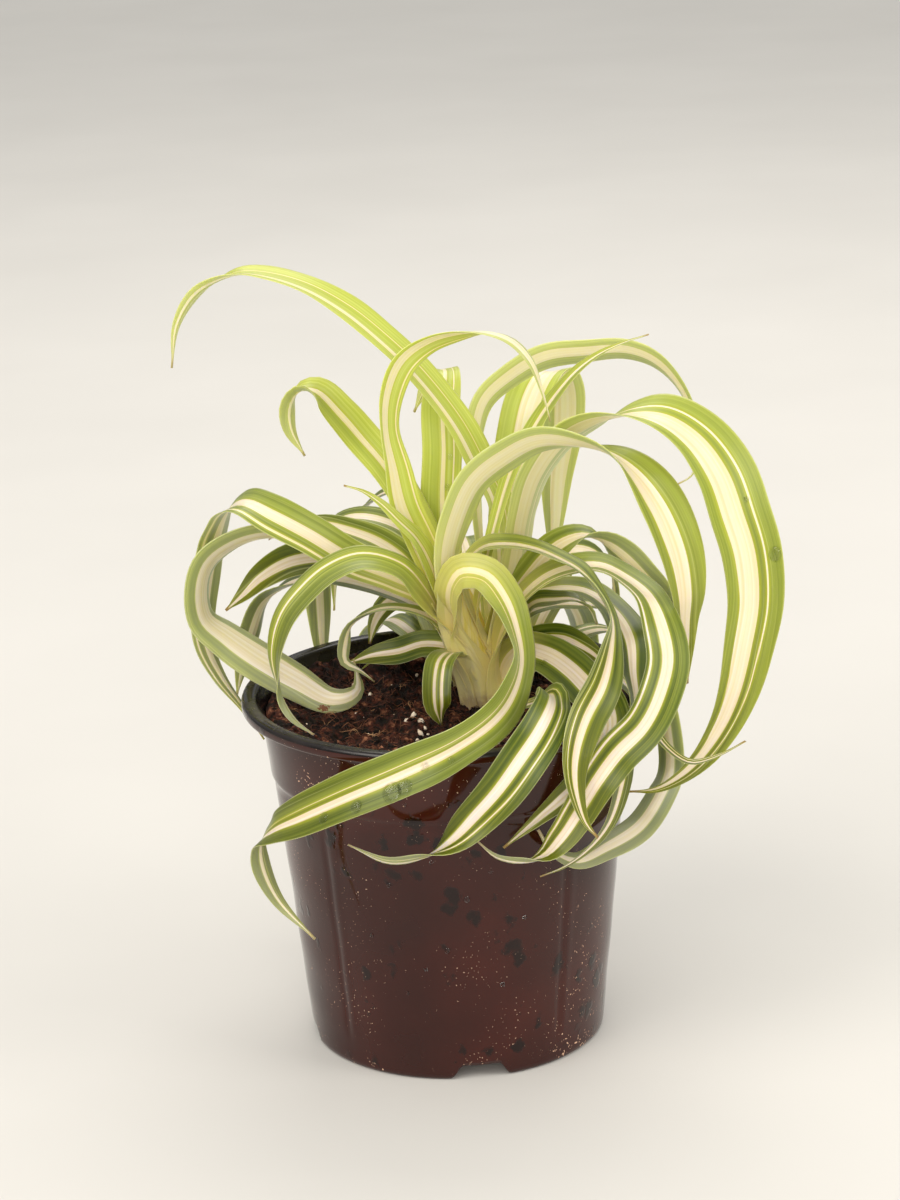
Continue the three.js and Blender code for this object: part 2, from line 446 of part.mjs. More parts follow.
// One shoot: a tapered round stem through its stations, wider by `grown`
function shootSolid(stations, grown) {
  const curve = curveThrough(stations);
  const rings = [];
  const steps = RINGS_PER_STATION * (stations.length - 1);
  for (let step = 0; step <= steps; step += 1) {
    const along = step / steps;
    const place = (stations.length - 1) * along;
    const low = Math.min(Math.floor(place), stations.length - 2);
    const radius = THREE.MathUtils.lerp(stations[low][3], stations[low + 1][3], place - low) + grown;
    const centre = curve.getPoint(along);
    const tangent = curve.getTangent(along);
    const across = new THREE.Vector3(0, 1, 0).cross(tangent).normalize();
    const other = new THREE.Vector3().crossVectors(tangent, across);
    const points = [];
    for (let side = 0; side < SHOOT_SIDES; side += 1) {
      const angle = (2 * Math.PI * side) / SHOOT_SIDES;
      points.push(centre.clone()
        .addScaledVector(across, radius * Math.cos(angle))
        .addScaledVector(other, radius * Math.sin(angle)));
    }
    rings.push(points);
  }
  return toSolid(closedRings(rings));
}

// Share of the widest width at a place s along a leaf: base at 0, widening to full, tip at 1
function widthShare(s, leaf) {
  const widened = THREE.MathUtils.clamp((s - leaf.waist) / WIDENS_OVER, 0, 1);
  const growth = leaf.base + (1 - leaf.base) * Math.sin((Math.PI / 2) * widened);
  const past = Math.max(0, (s - leaf.taper) / (1 - leaf.taper));
  return growth * (1 - past ** TIP_SHARPNESS);
}

// Leaf blade: a V-folded strap swept along its route and turned about it, grown all round on request
function bladeSolid(leaf, grown) {
  const curve = curveThrough(leaf.route);
  const spans = leaf.route.length - 1;
  const steps = Math.max(7, Math.round(curve.getLength() / SEGMENT_LENGTH));
  const faces = new THREE.Vector3(...leaf.faces);
  const rings = [];
  for (let step = 0; step <= steps; step += 1) {
    const s = step / steps;
    const place = curve.getUtoTmapping(s) * spans;
    const low = Math.min(Math.floor(place), spans - 1);
    const turn = THREE.MathUtils.degToRad(
      THREE.MathUtils.lerp(leaf.route[low][3], leaf.route[low + 1][3], place - low));
    const tangent = curve.getTangentAt(s);
    const normal = faces.clone().addScaledVector(tangent, -faces.dot(tangent)).normalize();
    normal.applyAxisAngle(tangent, turn);
    const across = new THREE.Vector3().crossVectors(tangent, normal);
    const half = Math.max(TIP_WIDTH, leaf.wide * widthShare(s, leaf)) / 2;
    const fold = half * THREE.MathUtils.lerp(FOLD_AT_BASE, FOLD_OUTSIDE, Math.min(s / FOLD_OPENS_BY, 1));
    const reach = grown * (step === 0 ? -BASE_REACH : Number(step === steps));
    const centre = curve.getPointAt(s).addScaledVector(tangent, reach);
    const at = (side, rise) => centre.clone()
      .addScaledVector(across, side * (half + grown))
      .addScaledVector(normal, rise);
    const top = BLADE_THICK / 2 + grown;
    rings.push([
      at(-1, fold / 2 + top), at(0, top - fold / 2), at(1, fold / 2 + top),
      at(1, fold / 2 - top), at(0, -fold / 2 - top), at(-1, fold / 2 - top),
    ]);
  }
  return toSolid(closedRings(rings));
}

// The three shoots as one solid, wider by `grown`
function crownSolid(grown) {
  return SHOOTS.map((stations) => shootSolid(stations, grown)).reduce((all, shoot) => all.add(shoot));
}

const crownClearance = crownSolid(GAP);

addPart('pot', toGeometry(potSolid()), MATERIALS.pot);
addPart('soil', toGeometry(soilSolid().subtract(crownClearance)), MATERIALS.peat);
addPart('crown', toGeometry(crownSolid(0)), MATERIALS.shoot);

// Leaves are laid in turn; each is cut clear of the crown and of the leaves already there.
const laid = [];
for (const leaf of LEAVES) {
  let blade = bladeSolid(leaf, 0).subtract(crownClearance);
  for (const other of laid) {
    blade = blade.subtract(other);
  }
  addPart(leaf.name, cleanBlade(blade), MATERIALS.leaf);
  laid.push(bladeSolid(leaf, GAP));
}

export default group;
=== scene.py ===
"""Potted spider plant, the curly variegated kind, in a thin brown nursery pot.

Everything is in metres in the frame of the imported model: +Z up, the front toward -Y, and the origin at the
centre of the pot's underside. The pot, the peat, the crown and every leaf are finer surfaces worked out with
numpy that stand exactly where their plain solids stand, and perlite, peat crumbs and water are added.
"""
import math

import bmesh
import bpy
import numpy as np
from mathutils import Matrix, Vector


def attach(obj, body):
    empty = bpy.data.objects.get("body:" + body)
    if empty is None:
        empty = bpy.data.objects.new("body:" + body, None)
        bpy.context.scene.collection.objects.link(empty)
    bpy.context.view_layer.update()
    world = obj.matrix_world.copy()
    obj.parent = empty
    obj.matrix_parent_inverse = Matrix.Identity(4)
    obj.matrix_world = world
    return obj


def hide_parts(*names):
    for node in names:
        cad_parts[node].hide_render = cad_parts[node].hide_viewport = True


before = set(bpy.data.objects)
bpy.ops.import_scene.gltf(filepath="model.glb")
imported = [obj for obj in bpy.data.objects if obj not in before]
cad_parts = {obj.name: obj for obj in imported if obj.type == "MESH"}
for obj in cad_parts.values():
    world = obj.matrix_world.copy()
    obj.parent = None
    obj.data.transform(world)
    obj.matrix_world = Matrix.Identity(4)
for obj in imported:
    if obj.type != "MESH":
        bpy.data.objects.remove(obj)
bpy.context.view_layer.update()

MM = 0.001

# ---------------------------------------- The pot ----------------------------------------
# A thin sheet of polystyrene, brown outside and black inside, drawn into a heated mould: a flanged rim, a
# stiffening band with a soft step under it, and four drain channels pressed up into the underside.
POT_HEIGHT = 105 * MM
RIM_RADIUS = 60 * MM
RIM_WIDTH = 3.5 * MM
RIM_DEPTH = 3 * MM
BAND_TOP_RADIUS = 54.5 * MM
BAND_FOOT_RADIUS = 52.5 * MM
BAND_FOOT_Z = 83 * MM
STEP_RADIUS = 51.5 * MM
STEP_Z = 81 * MM
FOOT_RADIUS = 43.5 * MM
WALL = 1.2 * MM
PROFILE_STEP = 1.6 * MM
FLOOR_Z = 6 * MM
SLOT_FOOT_WIDTH = 17 * MM
SLOT_TOP_WIDTH = 11.5 * MM
SLOT_HEIGHT = 4.6 * MM
SLOT_FROM = 27 * MM
SLOT_ANGLES = np.radians(-82 + 90 * np.arange(4))
CREASE_ANGLES = np.radians([-136, -50, 40, 130])
CREASE_DEPTH = 0.34
CREASE_LIP = 0.16
BLACK_RIM = 1.25 * MM  # how far down the rim's outside the black layer is rolled over
# The wall's soft waves: (depth in mm, waves round the pot, turn in radians a metre up, turn at the foot)
WAVES = [(0.07, 3, 300, 0), (0.06, 7, -140, 1)]
ROUND_STEPS = 360


def linear(hex_colour):
    """sRGB hex to linear RGBA: c/12.92 below 0.04045, else ((c + 0.055)/1.055) to the power 2.4."""
    channels = [int(hex_colour[i:i + 2], 16) / 255 for i in (1, 3, 5)]
    return tuple(c / 12.92 if c <= 0.04045 else ((c + 0.055) / 1.055) ** 2.4 for c in channels) + (1.0,)


def node(tree, kind, inputs, stops=(), **settings):
    """Adds one node: settings are its properties, and stops a colour ramp's (place, hex colour) pairs.

    Each input is a constant, a hex colour, a node whose first live output is linked, or (node, output name).
    """
    made = tree.nodes.new("ShaderNode" + kind)
    for name, value in settings.items():
        setattr(made, name, value)
    for index, (place, colour) in enumerate(stops):
        elements = made.color_ramp.elements
        stop = elements[index] if index < 2 else elements.new(place)
        stop.position = place
        stop.color = linear(colour)
    for name, value in inputs.items():
        if isinstance(value, bpy.types.Node):
            tree.links.new(next(output for output in value.outputs if output.enabled), made.inputs[name])
        elif isinstance(value, tuple) and isinstance(value[0], bpy.types.Node):
            tree.links.new(value[0].outputs[value[1]], made.inputs[name])
        else:
            made.inputs[name].default_value = linear(value) if isinstance(value, str) else value
    return made


def new_material(name):
    """An empty node material: the material, its tree and the Object coordinates to feed its patterns."""
    material = bpy.data.materials.new(name)
    material.use_nodes = True
    tree = material.node_tree
    tree.nodes.clear()
    return material, tree, (node(tree, "TexCoord", {}), "Object")


def make_piece(name, points, faces, materials, face_material=None, smooth=True):
    """A mesh object at the origin from an array of points and a list of faces."""
    mesh = bpy.data.meshes.new(name)
    mesh.from_pydata(points.reshape(-1, 3).tolist(), [], faces)
    for material in materials:
        mesh.materials.append(material)
    if face_material is not None:
        mesh.polygons.foreach_set("material_index", np.asarray(face_material, dtype=np.int32))
    mesh.polygons.foreach_set("use_smooth", np.full(len(mesh.polygons), smooth))
    piece = bpy.data.objects.new(name, mesh)
    bpy.context.scene.collection.objects.link(piece)
    return piece


def ring_faces(rings, sides, capped=False):
    """Quads between neighbouring closed rings of points, and, if capped, one flat face over each end."""
    first = np.arange(rings - 1)[:, None] * sides
    here = np.arange(sides)[None, :]
    after = (here + 1) % sides
    quads = np.stack([first + here, first + after, first + sides + after, first + sides + here], axis=-1)
    last = (rings - 1) * sides
    caps = [list(range(sides))[::-1], list(range(last, last + sides))] if capped else []
    return quads.reshape(-1, 4).tolist() + caps


def smooth_step(x, low, high):
    """0 below low, 1 above high, and 3t^2 - 2t^3 between."""
    t = np.clip((x - low) / (high - low), 0, 1)
    return t * t * (3 - 2 * t)


def pot_surface():
    """Lathe form: a profile of (radius, height) from the underside's centre round to the inside floor.

    The profile's corners are joined by short straight runs. The wall is then pushed in or out by the soft
    waves and by four upright creases, each a groove with a raised lip, and the underside and the foot are
    lifted inside the channels by min(channel height, (half width at the foot - |across|) x flank slope).
    """
    under = POT_HEIGHT - RIM_DEPTH
    inner = RIM_RADIUS - RIM_WIDTH
    corners = np.array([
        (0, 0), (SLOT_FROM, 0), (FOOT_RADIUS - 2 * MM, 0), (FOOT_RADIUS - 0.8 * MM, 0.25 * MM),
        (FOOT_RADIUS - 0.2 * MM, 0.9 * MM), (FOOT_RADIUS, 2 * MM), (STEP_RADIUS, STEP_Z),
        (BAND_FOOT_RADIUS - 0.15 * MM, BAND_FOOT_Z - 0.4 * MM), (BAND_FOOT_RADIUS, BAND_FOOT_Z + 0.3 * MM),
        (BAND_TOP_RADIUS, under - 1.6 * MM), (BAND_TOP_RADIUS + 0.5 * MM, under - 0.9 * MM),
        (BAND_TOP_RADIUS + 1.2 * MM, under - 0.6 * MM), (RIM_RADIUS - 1 * MM, under - 0.4 * MM),
        (RIM_RADIUS - 0.25 * MM, under - 0.2 * MM), (RIM_RADIUS, under + 0.3 * MM),
        (RIM_RADIUS, POT_HEIGHT - 1.2 * MM), (RIM_RADIUS - 0.3 * MM, POT_HEIGHT - 0.4 * MM),
        (RIM_RADIUS - 1.0 * MM, POT_HEIGHT), (inner, POT_HEIGHT), (inner - 0.6 * MM, POT_HEIGHT - 0.3 * MM),
        (inner - 0.9 * MM, POT_HEIGHT - 1 * MM), (BAND_TOP_RADIUS - WALL, under - 1.5 * MM),
        (BAND_FOOT_RADIUS - WALL, BAND_FOOT_Z), (STEP_RADIUS - WALL, STEP_Z),
        (FOOT_RADIUS - WALL + 0.3 * MM, FLOOR_Z), (0, FLOOR_Z)])
    runs = np.hypot(*np.diff(corners, axis=0).T)
    counts = np.clip(np.ceil(runs / PROFILE_STEP), 1, 40).astype(int)
    profile = np.concatenate([np.linspace(a, b, n, endpoint=False) for a, b, n in
                              zip(corners[:-1], corners[1:], counts)] + [corners[-1:]])
    profile[0, 0] = profile[-1, 0] = 0.05 * MM
    angle = np.linspace(0, 2 * np.pi, ROUND_STEPS, endpoint=False)[None, :]
    radius, height = profile[:, :1], profile[:, 1:]
    on_wall = smooth_step(height, 6 * MM, 14 * MM) * smooth_step(radius, 40 * MM, 43 * MM)
    on_wall = on_wall * (1 - smooth_step(height, 97 * MM, 101 * MM))
    waves = sum(deep * np.sin(turns * angle + climb * height + shift) for deep, turns, climb, shift in WAVES)
    off = np.angle(np.exp(1j * (angle - CREASE_ANGLES[:, None])))
    creases = CREASE_LIP * np.exp(-((off - 0.055) / 0.025) ** 2) - CREASE_DEPTH * np.exp(-(off / 0.020) ** 2)
    fade = smooth_step(height, 5 * MM, 12 * MM) * (1 - smooth_step(height, 66 * MM, 80 * MM))
    radius = radius + on_wall * (waves + creases.sum(axis=0) * fade) * MM
    flank = SLOT_HEIGHT / (SLOT_FOOT_WIDTH - SLOT_TOP_WIDTH) * 2
    off = np.angle(np.exp(1j * (angle - SLOT_ANGLES[:, None, None])))
    lift = np.clip((SLOT_FOOT_WIDTH / 2 - np.abs(radius * off)) * flank, 0, SLOT_HEIGHT).max(axis=0)
    outside = np.arange(len(profile))[:, None] < int(np.argmax(height > BAND_FOOT_Z))
    in_reach = smooth_step(radius, SLOT_FROM, SLOT_FROM + 2 * MM)
    height = np.where(outside, np.maximum(height, lift * in_reach), height + 0 * lift)
    rim_row = int(np.argmax(profile[:, 1] >= POT_HEIGHT - BLACK_RIM))
    return np.stack([radius * np.cos(angle), radius * np.sin(angle), height], axis=-1), rim_row


def grit_amount(points):
    """How much grit sticks at each point: more low on the wall, beside the right crease and under the rim."""
    angle = np.degrees(np.arctan2(points[..., 1], points[..., 0]))
    height = points[..., 2] / MM
    low = 0.20 * np.exp(-(height / 45) ** 2) * np.exp(-((angle + 45) / 45) ** 2)
    crease = 0.16 * np.exp(-((angle + 47) / 7) ** 2) * (1 - smooth_step(height, 45, 80))
    foot = 0.5 * np.exp(-(height / 4) ** 2)
    under_rim = 1.1 * np.exp(-((angle + 138) / 18) ** 2) * smooth_step(height, 84, 94)
    return 0.30 + low + crease + foot + under_rim


def brown_film():
    """Thermoformed polystyrene film, glossy red-brown, with darker wet spots and peat grit dried on it."""
    material, tree, place = new_material("thermoformed_polystyrene_brown")
    clouds = node(tree, "TexNoise", {"Vector": place, "Scale": 22.0, "Detail": 3.0})
    body = node(tree, "ValToRGB", {"Fac": clouds}, [(0.3, "#290c07"), (0.55, "#36110a"), (0.75, "#46180f")])
    # Dried and wet spots 2 to 6 mm across: cells 8 mm apart, their edges bent by noise, thick in patches
    bend = node(tree, "TexNoise", {"Vector": place, "Scale": 260.0, "Detail": 2.0})
    bent = node(tree, "MixRGB", {"Fac": 0.006, "Color1": place, "Color2": (bend, "Color")}, blend_type="ADD")
    squeeze = node(tree, "Mapping", {"Vector": bent, "Scale": (1.0, 1.0, 0.8)})
    spots = node(tree, "TexVoronoi", {"Vector": squeeze, "Scale": 125.0})
    patches = node(tree, "TexNoise", {"Vector": place, "Scale": 26.0, "Detail": 1.0})
    reach = node(tree, "MapRange", {"Value": patches, "From Min": 0.36, "From Max": 0.62, "To Min": 0.06,
                                    "To Max": 0.36})
    inside = node(tree, "Math", {0: reach, 1: spots}, operation="SUBTRACT")
    wet = node(tree, "MapRange", {"Value": inside, "From Max": 0.12})
    # Grit and fibre specks 0.2 to 0.8 mm across, thickest where the grit attribute is high
    drawn = node(tree, "Mapping", {"Vector": bent, "Scale": (1.0, 1.0, 0.6)})
    specks = node(tree, "TexVoronoi", {"Vector": drawn, "Scale": 950.0})
    scatter = node(tree, "TexNoise", {"Vector": place, "Scale": 45.0, "Detail": 3.0})
    limit = node(tree, "MapRange", {"Value": scatter, "From Min": 0.40, "From Max": 0.75, "To Min": 0.05,
                                    "To Max": 0.45})
    amount = (node(tree, "Attribute", {}, attribute_name="grit"), "Fac")
    limit = node(tree, "Math", {0: limit, 1: amount}, operation="MULTIPLY")
    grit = node(tree, "Math", {0: limit, 1: specks}, operation="GREATER_THAN")
    rough = node(tree, "MapRange", {"Value": clouds, "To Min": 0.06, "To Max": 0.14})
    for cover, colour, dullness in ((wet, "#1a0906", 0.05), (grit, "#d9b397", 0.8)):
        body = node(tree, "Mix", {"Factor": cover, "A": body, "B": colour}, data_type="RGBA")
        rough = node(tree, "Mix", {"Factor": cover, "A": rough, "B": dullness})
    skin = node(tree, "TexNoise", {"Vector": place, "Scale": 170.0, "Detail": 3.0})
    bump = node(tree, "Bump", {"Height": skin, "Strength": 0.10, "Distance": 0.0004})
    bump = node(tree, "Bump", {"Height": wet, "Strength": 0.25, "Distance": 0.0003, "Normal": bump})
    bump = node(tree, "Bump", {"Height": grit, "Strength": 0.5, "Distance": 0.0004, "Normal": bump})
    shader = node(tree, "BsdfPrincipled", {"Base Color": body, "Roughness": rough, "Normal": bump,
                                           "IOR": 1.42})
    node(tree, "OutputMaterial", {"Surface": shader})
    return material


def black_film():
    """The film's black inner layer, glossy on the rolled rim and dusted with peat inside."""
    material, tree, place = new_material("thermoformed_polystyrene_black")
    dust = node(tree, "TexNoise", {"Vector": place, "Scale": 120.0, "Detail": 5.0})
    body = node(tree, "ValToRGB", {"Fac": dust}, [(0.35, "#0e0808"), (0.62, "#170f0e"), (0.75, "#3f2a20")])
    rough = node(tree, "MapRange", {"Value": dust, "From Min": 0.4, "From Max": 0.7, "To Min": 0.2,
                                    "To Max": 0.5})
    bump = node(tree, "Bump", {"Height": dust, "Strength": 0.2, "Distance": 0.0003})
    shader = node(tree, "BsdfPrincipled", {"Base Color": body, "Roughness": rough, "Normal": bump,
                                           "IOR": 1.46})
    node(tree, "OutputMaterial", {"Surface": shader})
    return material


pot_points, rim_row = pot_surface()
pot_rows, pot_sides = pot_points.shape[:2]
pot_layer = np.repeat(np.arange(pot_rows - 1) >= rim_row, pot_sides).tolist() + [False, True]
pot = make_piece("moulded_pot", pot_points, ring_faces(pot_rows, pot_sides, capped=True),
                 [brown_film(), black_film()], face_material=pot_layer)
grit = pot.data.attributes.new("grit", "FLOAT", "POINT")
grit.data.foreach_set("value", grit_amount(pot_points).ravel().astype(np.float32))
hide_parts("pot")
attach(pot, "root")

# ---------------------------------------- The peat ----------------------------------------
# Milled sphagnum peat pressed loosely into the pot: a lumpy surface of fibres and crumbs with grains of
# white perlite, a puffed volcanic glass, mixed in and left lying on top.
SOIL_TOP = 96.5 * MM
SOIL_EDGE_TOP = 101.5 * MM
DISH_FROM = 38 * MM
DISH_TO = 52 * MM
SOIL_RELIEF = 1.1 * MM
SOIL_RADIUS = 53.0 * MM
# The lumps: (size in mm, height in mm, seed)
LUMPS = [(9, 2.6, 11), (4, 2.2, 12), (1.8, 1.5, 13), (0.9, 0.9, 14)]
LATTICE = 256
CRUMBS = 3200
CRUMB_REACH = 51 * MM
PEAT_SIDES = 420
PEAT_RINGS = 158
EDGE_DROP = 1.6 * MM
FIBRES = 1300
FIBRE_REACH = 49 * MM
FIBRE_ROWS = 7
GRAIN_FLATNESS = 0.8
FINE_PERLITE = 60
# The perlite grains that show best: [x, y, size] in millimetres
PERLITE = [[-8, -9, 1.2], [-10, -7, 1.0], [-12, -8, 0.8], [-7, -11, 0.8], [-8, -17, 1.3], [-6, -16, 0.7],
           [-23, 19, 1.0], [-13, 10, 0.8], [-16, 3, 0.6], [-19, 20, 0.7], [-9, -23, 0.6], [-14, -2, 0.5],
           [-27, 2, 0.5], [-33, -20, 0.4], [14, -31, 0.5], [30, -22, 0.6], [-3, -22, 0.4], [-23, -18, 0.4],
           [-36, 12, 0.5], [-9, 38, 0.8], [20, 40, 0.9], [-28, 30, 0.7], [38, 8, 0.6], [-41, -8, 0.4]]


def lattice_noise(x, y, cell, seed):
    """Random values on a square lattice of the given cell, blended smoothly between its corners, 0 to 1."""
    table = np.random.default_rng(seed).random((LATTICE, LATTICE))
    u, v = x / cell + LATTICE / 2 + 0.5, y / cell + LATTICE / 2 + 0.5
    i, j = np.floor(u).astype(int), np.floor(v).astype(int)
    a, b = smooth_step(u - i, 0, 1), smooth_step(v - j, 0, 1)
    i, j = i % (LATTICE - 1), j % (LATTICE - 1)
    low = table[i, j] * (1 - a) + table[i + 1, j] * a
    high = table[i, j + 1] * (1 - a) + table[i + 1, j + 1] * a
    return low * (1 - b) + high * b


def peat_height(x, y):
    """Height of the peat's top: the dish and three crossed waves of the plain solid, plus the lumps."""
    a, b = x / MM, y / MM
    waves = 0.45 * np.sin(0.55 * a + 1.3) * np.cos(0.47 * b - 0.6)
    waves = waves + 0.35 * np.sin(1.13 * a - 0.7 * b + 2.1) + 0.2 * np.sin(1.9 * b + 0.8 * a + 4)
    dish = smooth_step(np.hypot(x, y), DISH_FROM, DISH_TO)
    lumps = sum(high * MM * (lattice_noise(x, y, cell * MM, seed) - 0.5) for cell, high, seed in LUMPS)
    return SOIL_TOP + (SOIL_EDGE_TOP - SOIL_TOP) * dish + SOIL_RELIEF * waves * 0.6 + lumps


def peat_surface():
    """Rings up the pot's wall and in over the top, 0.33 mm apart there and lowered where the two meet."""
    angle = np.linspace(0, 2 * np.pi, PEAT_SIDES, endpoint=False)[None, :]
    wall = np.array([(42.0, 6.5), (50.0, 80.6), (51.0, 83), (52.8, 98.0)]) * MM
    radius = np.concatenate([wall[:, 0], SOIL_RADIUS * np.linspace(1, 0.002, PEAT_RINGS)])[:, None]
    x, y = radius * np.cos(angle), radius * np.sin(angle)
    z = peat_height(x, y) - EDGE_DROP * smooth_step(radius, SOIL_RADIUS - 1.4 * MM, SOIL_RADIUS)
    z[:len(wall)] = wall[:, 1:]
    return np.stack([x, y, z], axis=-1)


def repeat_faces(faces, corners, copies):
    """The faces of one form that has so many corners, numbered on for each of its copies."""
    return [[corner + corners * copy for corner in face] for copy in range(copies) for face in faces]


def round_grain(steps):
    """Unit icosphere points and faces, the form that every grain and drop of water starts from."""
    ball = bmesh.new()
    bmesh.ops.create_icosphere(ball, subdivisions=steps, radius=1)
    points = np.array([v.co[:] for v in ball.verts])
    faces = [[v.index for v in f.verts] for f in ball.faces]
    ball.free()
    return points, faces


def scatter_grains(centres, sizes, seed):
    """Grains: unit balls stretched by 0.6 to 1.3, roughened by up to a quarter and turned, all at random."""
    random = np.random.default_rng(seed)
    ball, faces = round_grain(1)
    count = len(centres)
    stretch = random.uniform(0.6, 1.3, (count, 1, 3)) * np.array([1, 1, GRAIN_FLATNESS])
    knobs = 1 + random.uniform(-0.25, 0.25, (count, len(ball), 1))
    turn = np.linalg.qr(random.normal(size=(count, 3, 3)))[0]
    turn = turn * np.sign(np.linalg.det(turn))[:, None, None]
    shape = np.einsum("nij,nkj->nki", turn, ball * knobs * stretch) * sizes[:, None, None]
    return shape + centres[:, None, :], repeat_faces(faces, len(ball), count)


def fibre_strands(count, seed):
    """Bent three-sided strands 2.5 to 10 mm long lying on the peat, sagging to it at both ends.

    A strand that would reach past the dished part is left out.
    """
    random = np.random.default_rng(seed)
    centre = random.uniform(-1, 1, (count, 2)) * FIBRE_REACH
    centre = centre[np.hypot(*centre.T) < FIBRE_REACH]
    count = len(centre)
    heading = random.uniform(0, 2 * np.pi, count)
    length = 2.5 * MM + 8 * MM * random.random(count) ** 2
    bend = random.uniform(-1.2, 1.2, count)
    along = np.linspace(-0.5, 0.5, FIBRE_ROWS)[None, :]
    way = heading[:, None] + bend[:, None] * along
    x = centre[:, :1] + length[:, None] * along * np.cos(way)
    y = centre[:, 1:] + length[:, None] * along * np.sin(way)
    z = peat_height(x, y) + 0.35 * MM + random.uniform(0, 1.2, (count, 1)) * MM * (1 - 4 * along ** 2)
    inside = np.hypot(x, y).max(axis=1) < DISH_TO
    x, y, z, way = [values[inside][..., None] for values in (x, y, z, way)]
    thick = random.uniform(0.06, 0.14, (len(x), 1, 1)) * MM * (1 - 1.2 * along[..., None] ** 2)
    corner = np.radians([90, 210, 330])[None, None, :]
    side, rise = thick * np.cos(corner), thick * np.sin(corner)
    points = np.stack([x - side * np.sin(way), y + side * np.cos(way), z + rise], axis=-1)
    strand = ring_faces(FIBRE_ROWS, corner.size, capped=True)
    return points, repeat_faces(strand, FIBRE_ROWS * corner.size, len(points))


def peat_material():
    """Moist sphagnum peat: dark brown with reddish fibres and a few paler dry bits, dull all over, with painted
    shade in the hollows of its lumps and painted light on their tops.
    """
    material, tree, place = new_material("moist_sphagnum_peat")
    lumps = node(tree, "TexNoise", {"Vector": place, "Scale": 260.0, "Detail": 6.0, "Roughness": 0.65})
    # Painted shade and light: the lump noise that raises the bump also colours it, near black in its hollows
    # and paler red-brown on its tops, over the peat's own tones
    body = node(tree, "ValToRGB", {"Fac": lumps}, [(0.40, "#080301"), (0.48, "#200c05"), (0.57, "#482014"),
                                                   (0.70, "#a26e50")])
    fine = node(tree, "TexNoise", {"Vector": place, "Scale": 1400.0, "Detail": 3.0})
    height = node(tree, "Mix", {"Factor": 0.4, "A": lumps, "B": fine})
    bump = node(tree, "Bump", {"Height": height, "Strength": 0.9, "Distance": 0.0008})
    rough = node(tree, "MapRange", {"Value": fine, "To Min": 0.62, "To Max": 0.98})
    shader = node(tree, "BsdfPrincipled", {"Base Color": body, "Roughness": rough, "Normal": bump,
                                           "IOR": 1.35})
    node(tree, "OutputMaterial", {"Surface": shader})
    return material


def fibre_material():
    """Sphagnum fibres: stringy brown stems, some bleached as pale as straw, changing about every 6 mm."""
    material, tree, place = new_material("sphagnum_fibre")
    patches = node(tree, "TexNoise", {"Vector": place, "Scale": 170.0, "Detail": 1.0})
    body = node(tree, "ValToRGB", {"Fac": patches}, [(0.38, "#1c0c07"), (0.52, "#4a2516"), (0.64, "#7c4c30"),
                                                     (0.78, "#c49a70")])
    grain = node(tree, "TexNoise", {"Vector": place, "Scale": 2500.0, "Detail": 1.0})
    bump = node(tree, "Bump", {"Height": grain, "Strength": 0.4, "Distance": 0.0002})
    shader = node(tree, "BsdfPrincipled", {"Base Color": body, "Roughness": 0.8, "Normal": bump})
    node(tree, "OutputMaterial", {"Surface": shader})
    return material


def perlite_material():
    """Expanded perlite: chalky white glass foam, pitted, with peat dust in its pits."""
    material, tree, place = new_material("expanded_perlite")
    pits = node(tree, "TexVoronoi", {"Vector": place, "Scale": 1800.0})
    dust = node(tree, "TexNoise", {"Vector": place, "Scale": 500.0, "Detail": 4.0})
    body = node(tree, "ValToRGB", {"Fac": dust}, [(0.3, "#8a6248"), (0.45, "#ecd6bc"), (0.7, "#fcf3e2")])
    bump = node(tree, "Bump", {"Height": pits, "Strength": 0.6, "Distance": 0.0003})
    shader = node(tree, "BsdfPrincipled", {"Base Color": body, "Roughness": 0.9, "Normal": bump,
                                           "Subsurface Weight": 0.1, "Subsurface Scale": 1.0,
                                           "Subsurface Radius": (0.001, 0.001, 0.0008)})
    node(tree, "OutputMaterial", {"Surface": shader})
    return material


peat_brown = peat_material()
peat_points = peat_surface()
peat = make_piece("peat_fill", peat_points, ring_faces(*peat_points.shape[:2], capped=True), [peat_brown])
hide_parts("soil")

random = np.random.default_rng(21)
spots = random.uniform(-1, 1, (CRUMBS * 2, 2)) * CRUMB_REACH
spots = spots[np.hypot(*spots.T) < CRUMB_REACH + 0.5 * MM][:CRUMBS]
crumb_sizes = 0.25 * MM + 0.85 * MM * random.random(len(spots)) ** 3
crumb_places = np.column_stack([spots, peat_height(*spots.T) + 0.25 * crumb_sizes])
crumbs = make_piece("peat_crumbs", *scatter_grains(crumb_places, crumb_sizes, 22), [peat_brown], smooth=False)
fibres = make_piece("peat_fibres", *fibre_strands(FIBRES, 23), [fibre_material()])

small = random.uniform(-48, 48, (FINE_PERLITE, 2))
small = small[np.hypot(*small.T) < 48]
grains = np.vstack([PERLITE, np.column_stack([small, random.uniform(0.12, 0.3, len(small))])]) * MM
grain_places = np.column_stack([grains[:, :2], peat_height(*grains[:, :2].T) + 0.35 * grains[:, 2]])
perlite = make_piece("perlite_grains", *scatter_grains(grain_places, grains[:, 2], 24), [perlite_material()])
for piece in (peat, crumbs, fibres, perlite):
    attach(piece, "root")

# --------------------------------------- The leaves ---------------------------------------
# Strap leaves about half a millimetre thick, folded a little along the midrib and curling back: cream down
# the middle, green at the margins, with fine parallel veins. Each clasps a shoot of the crown.
FRONT = (0, -0.955, 0.296)
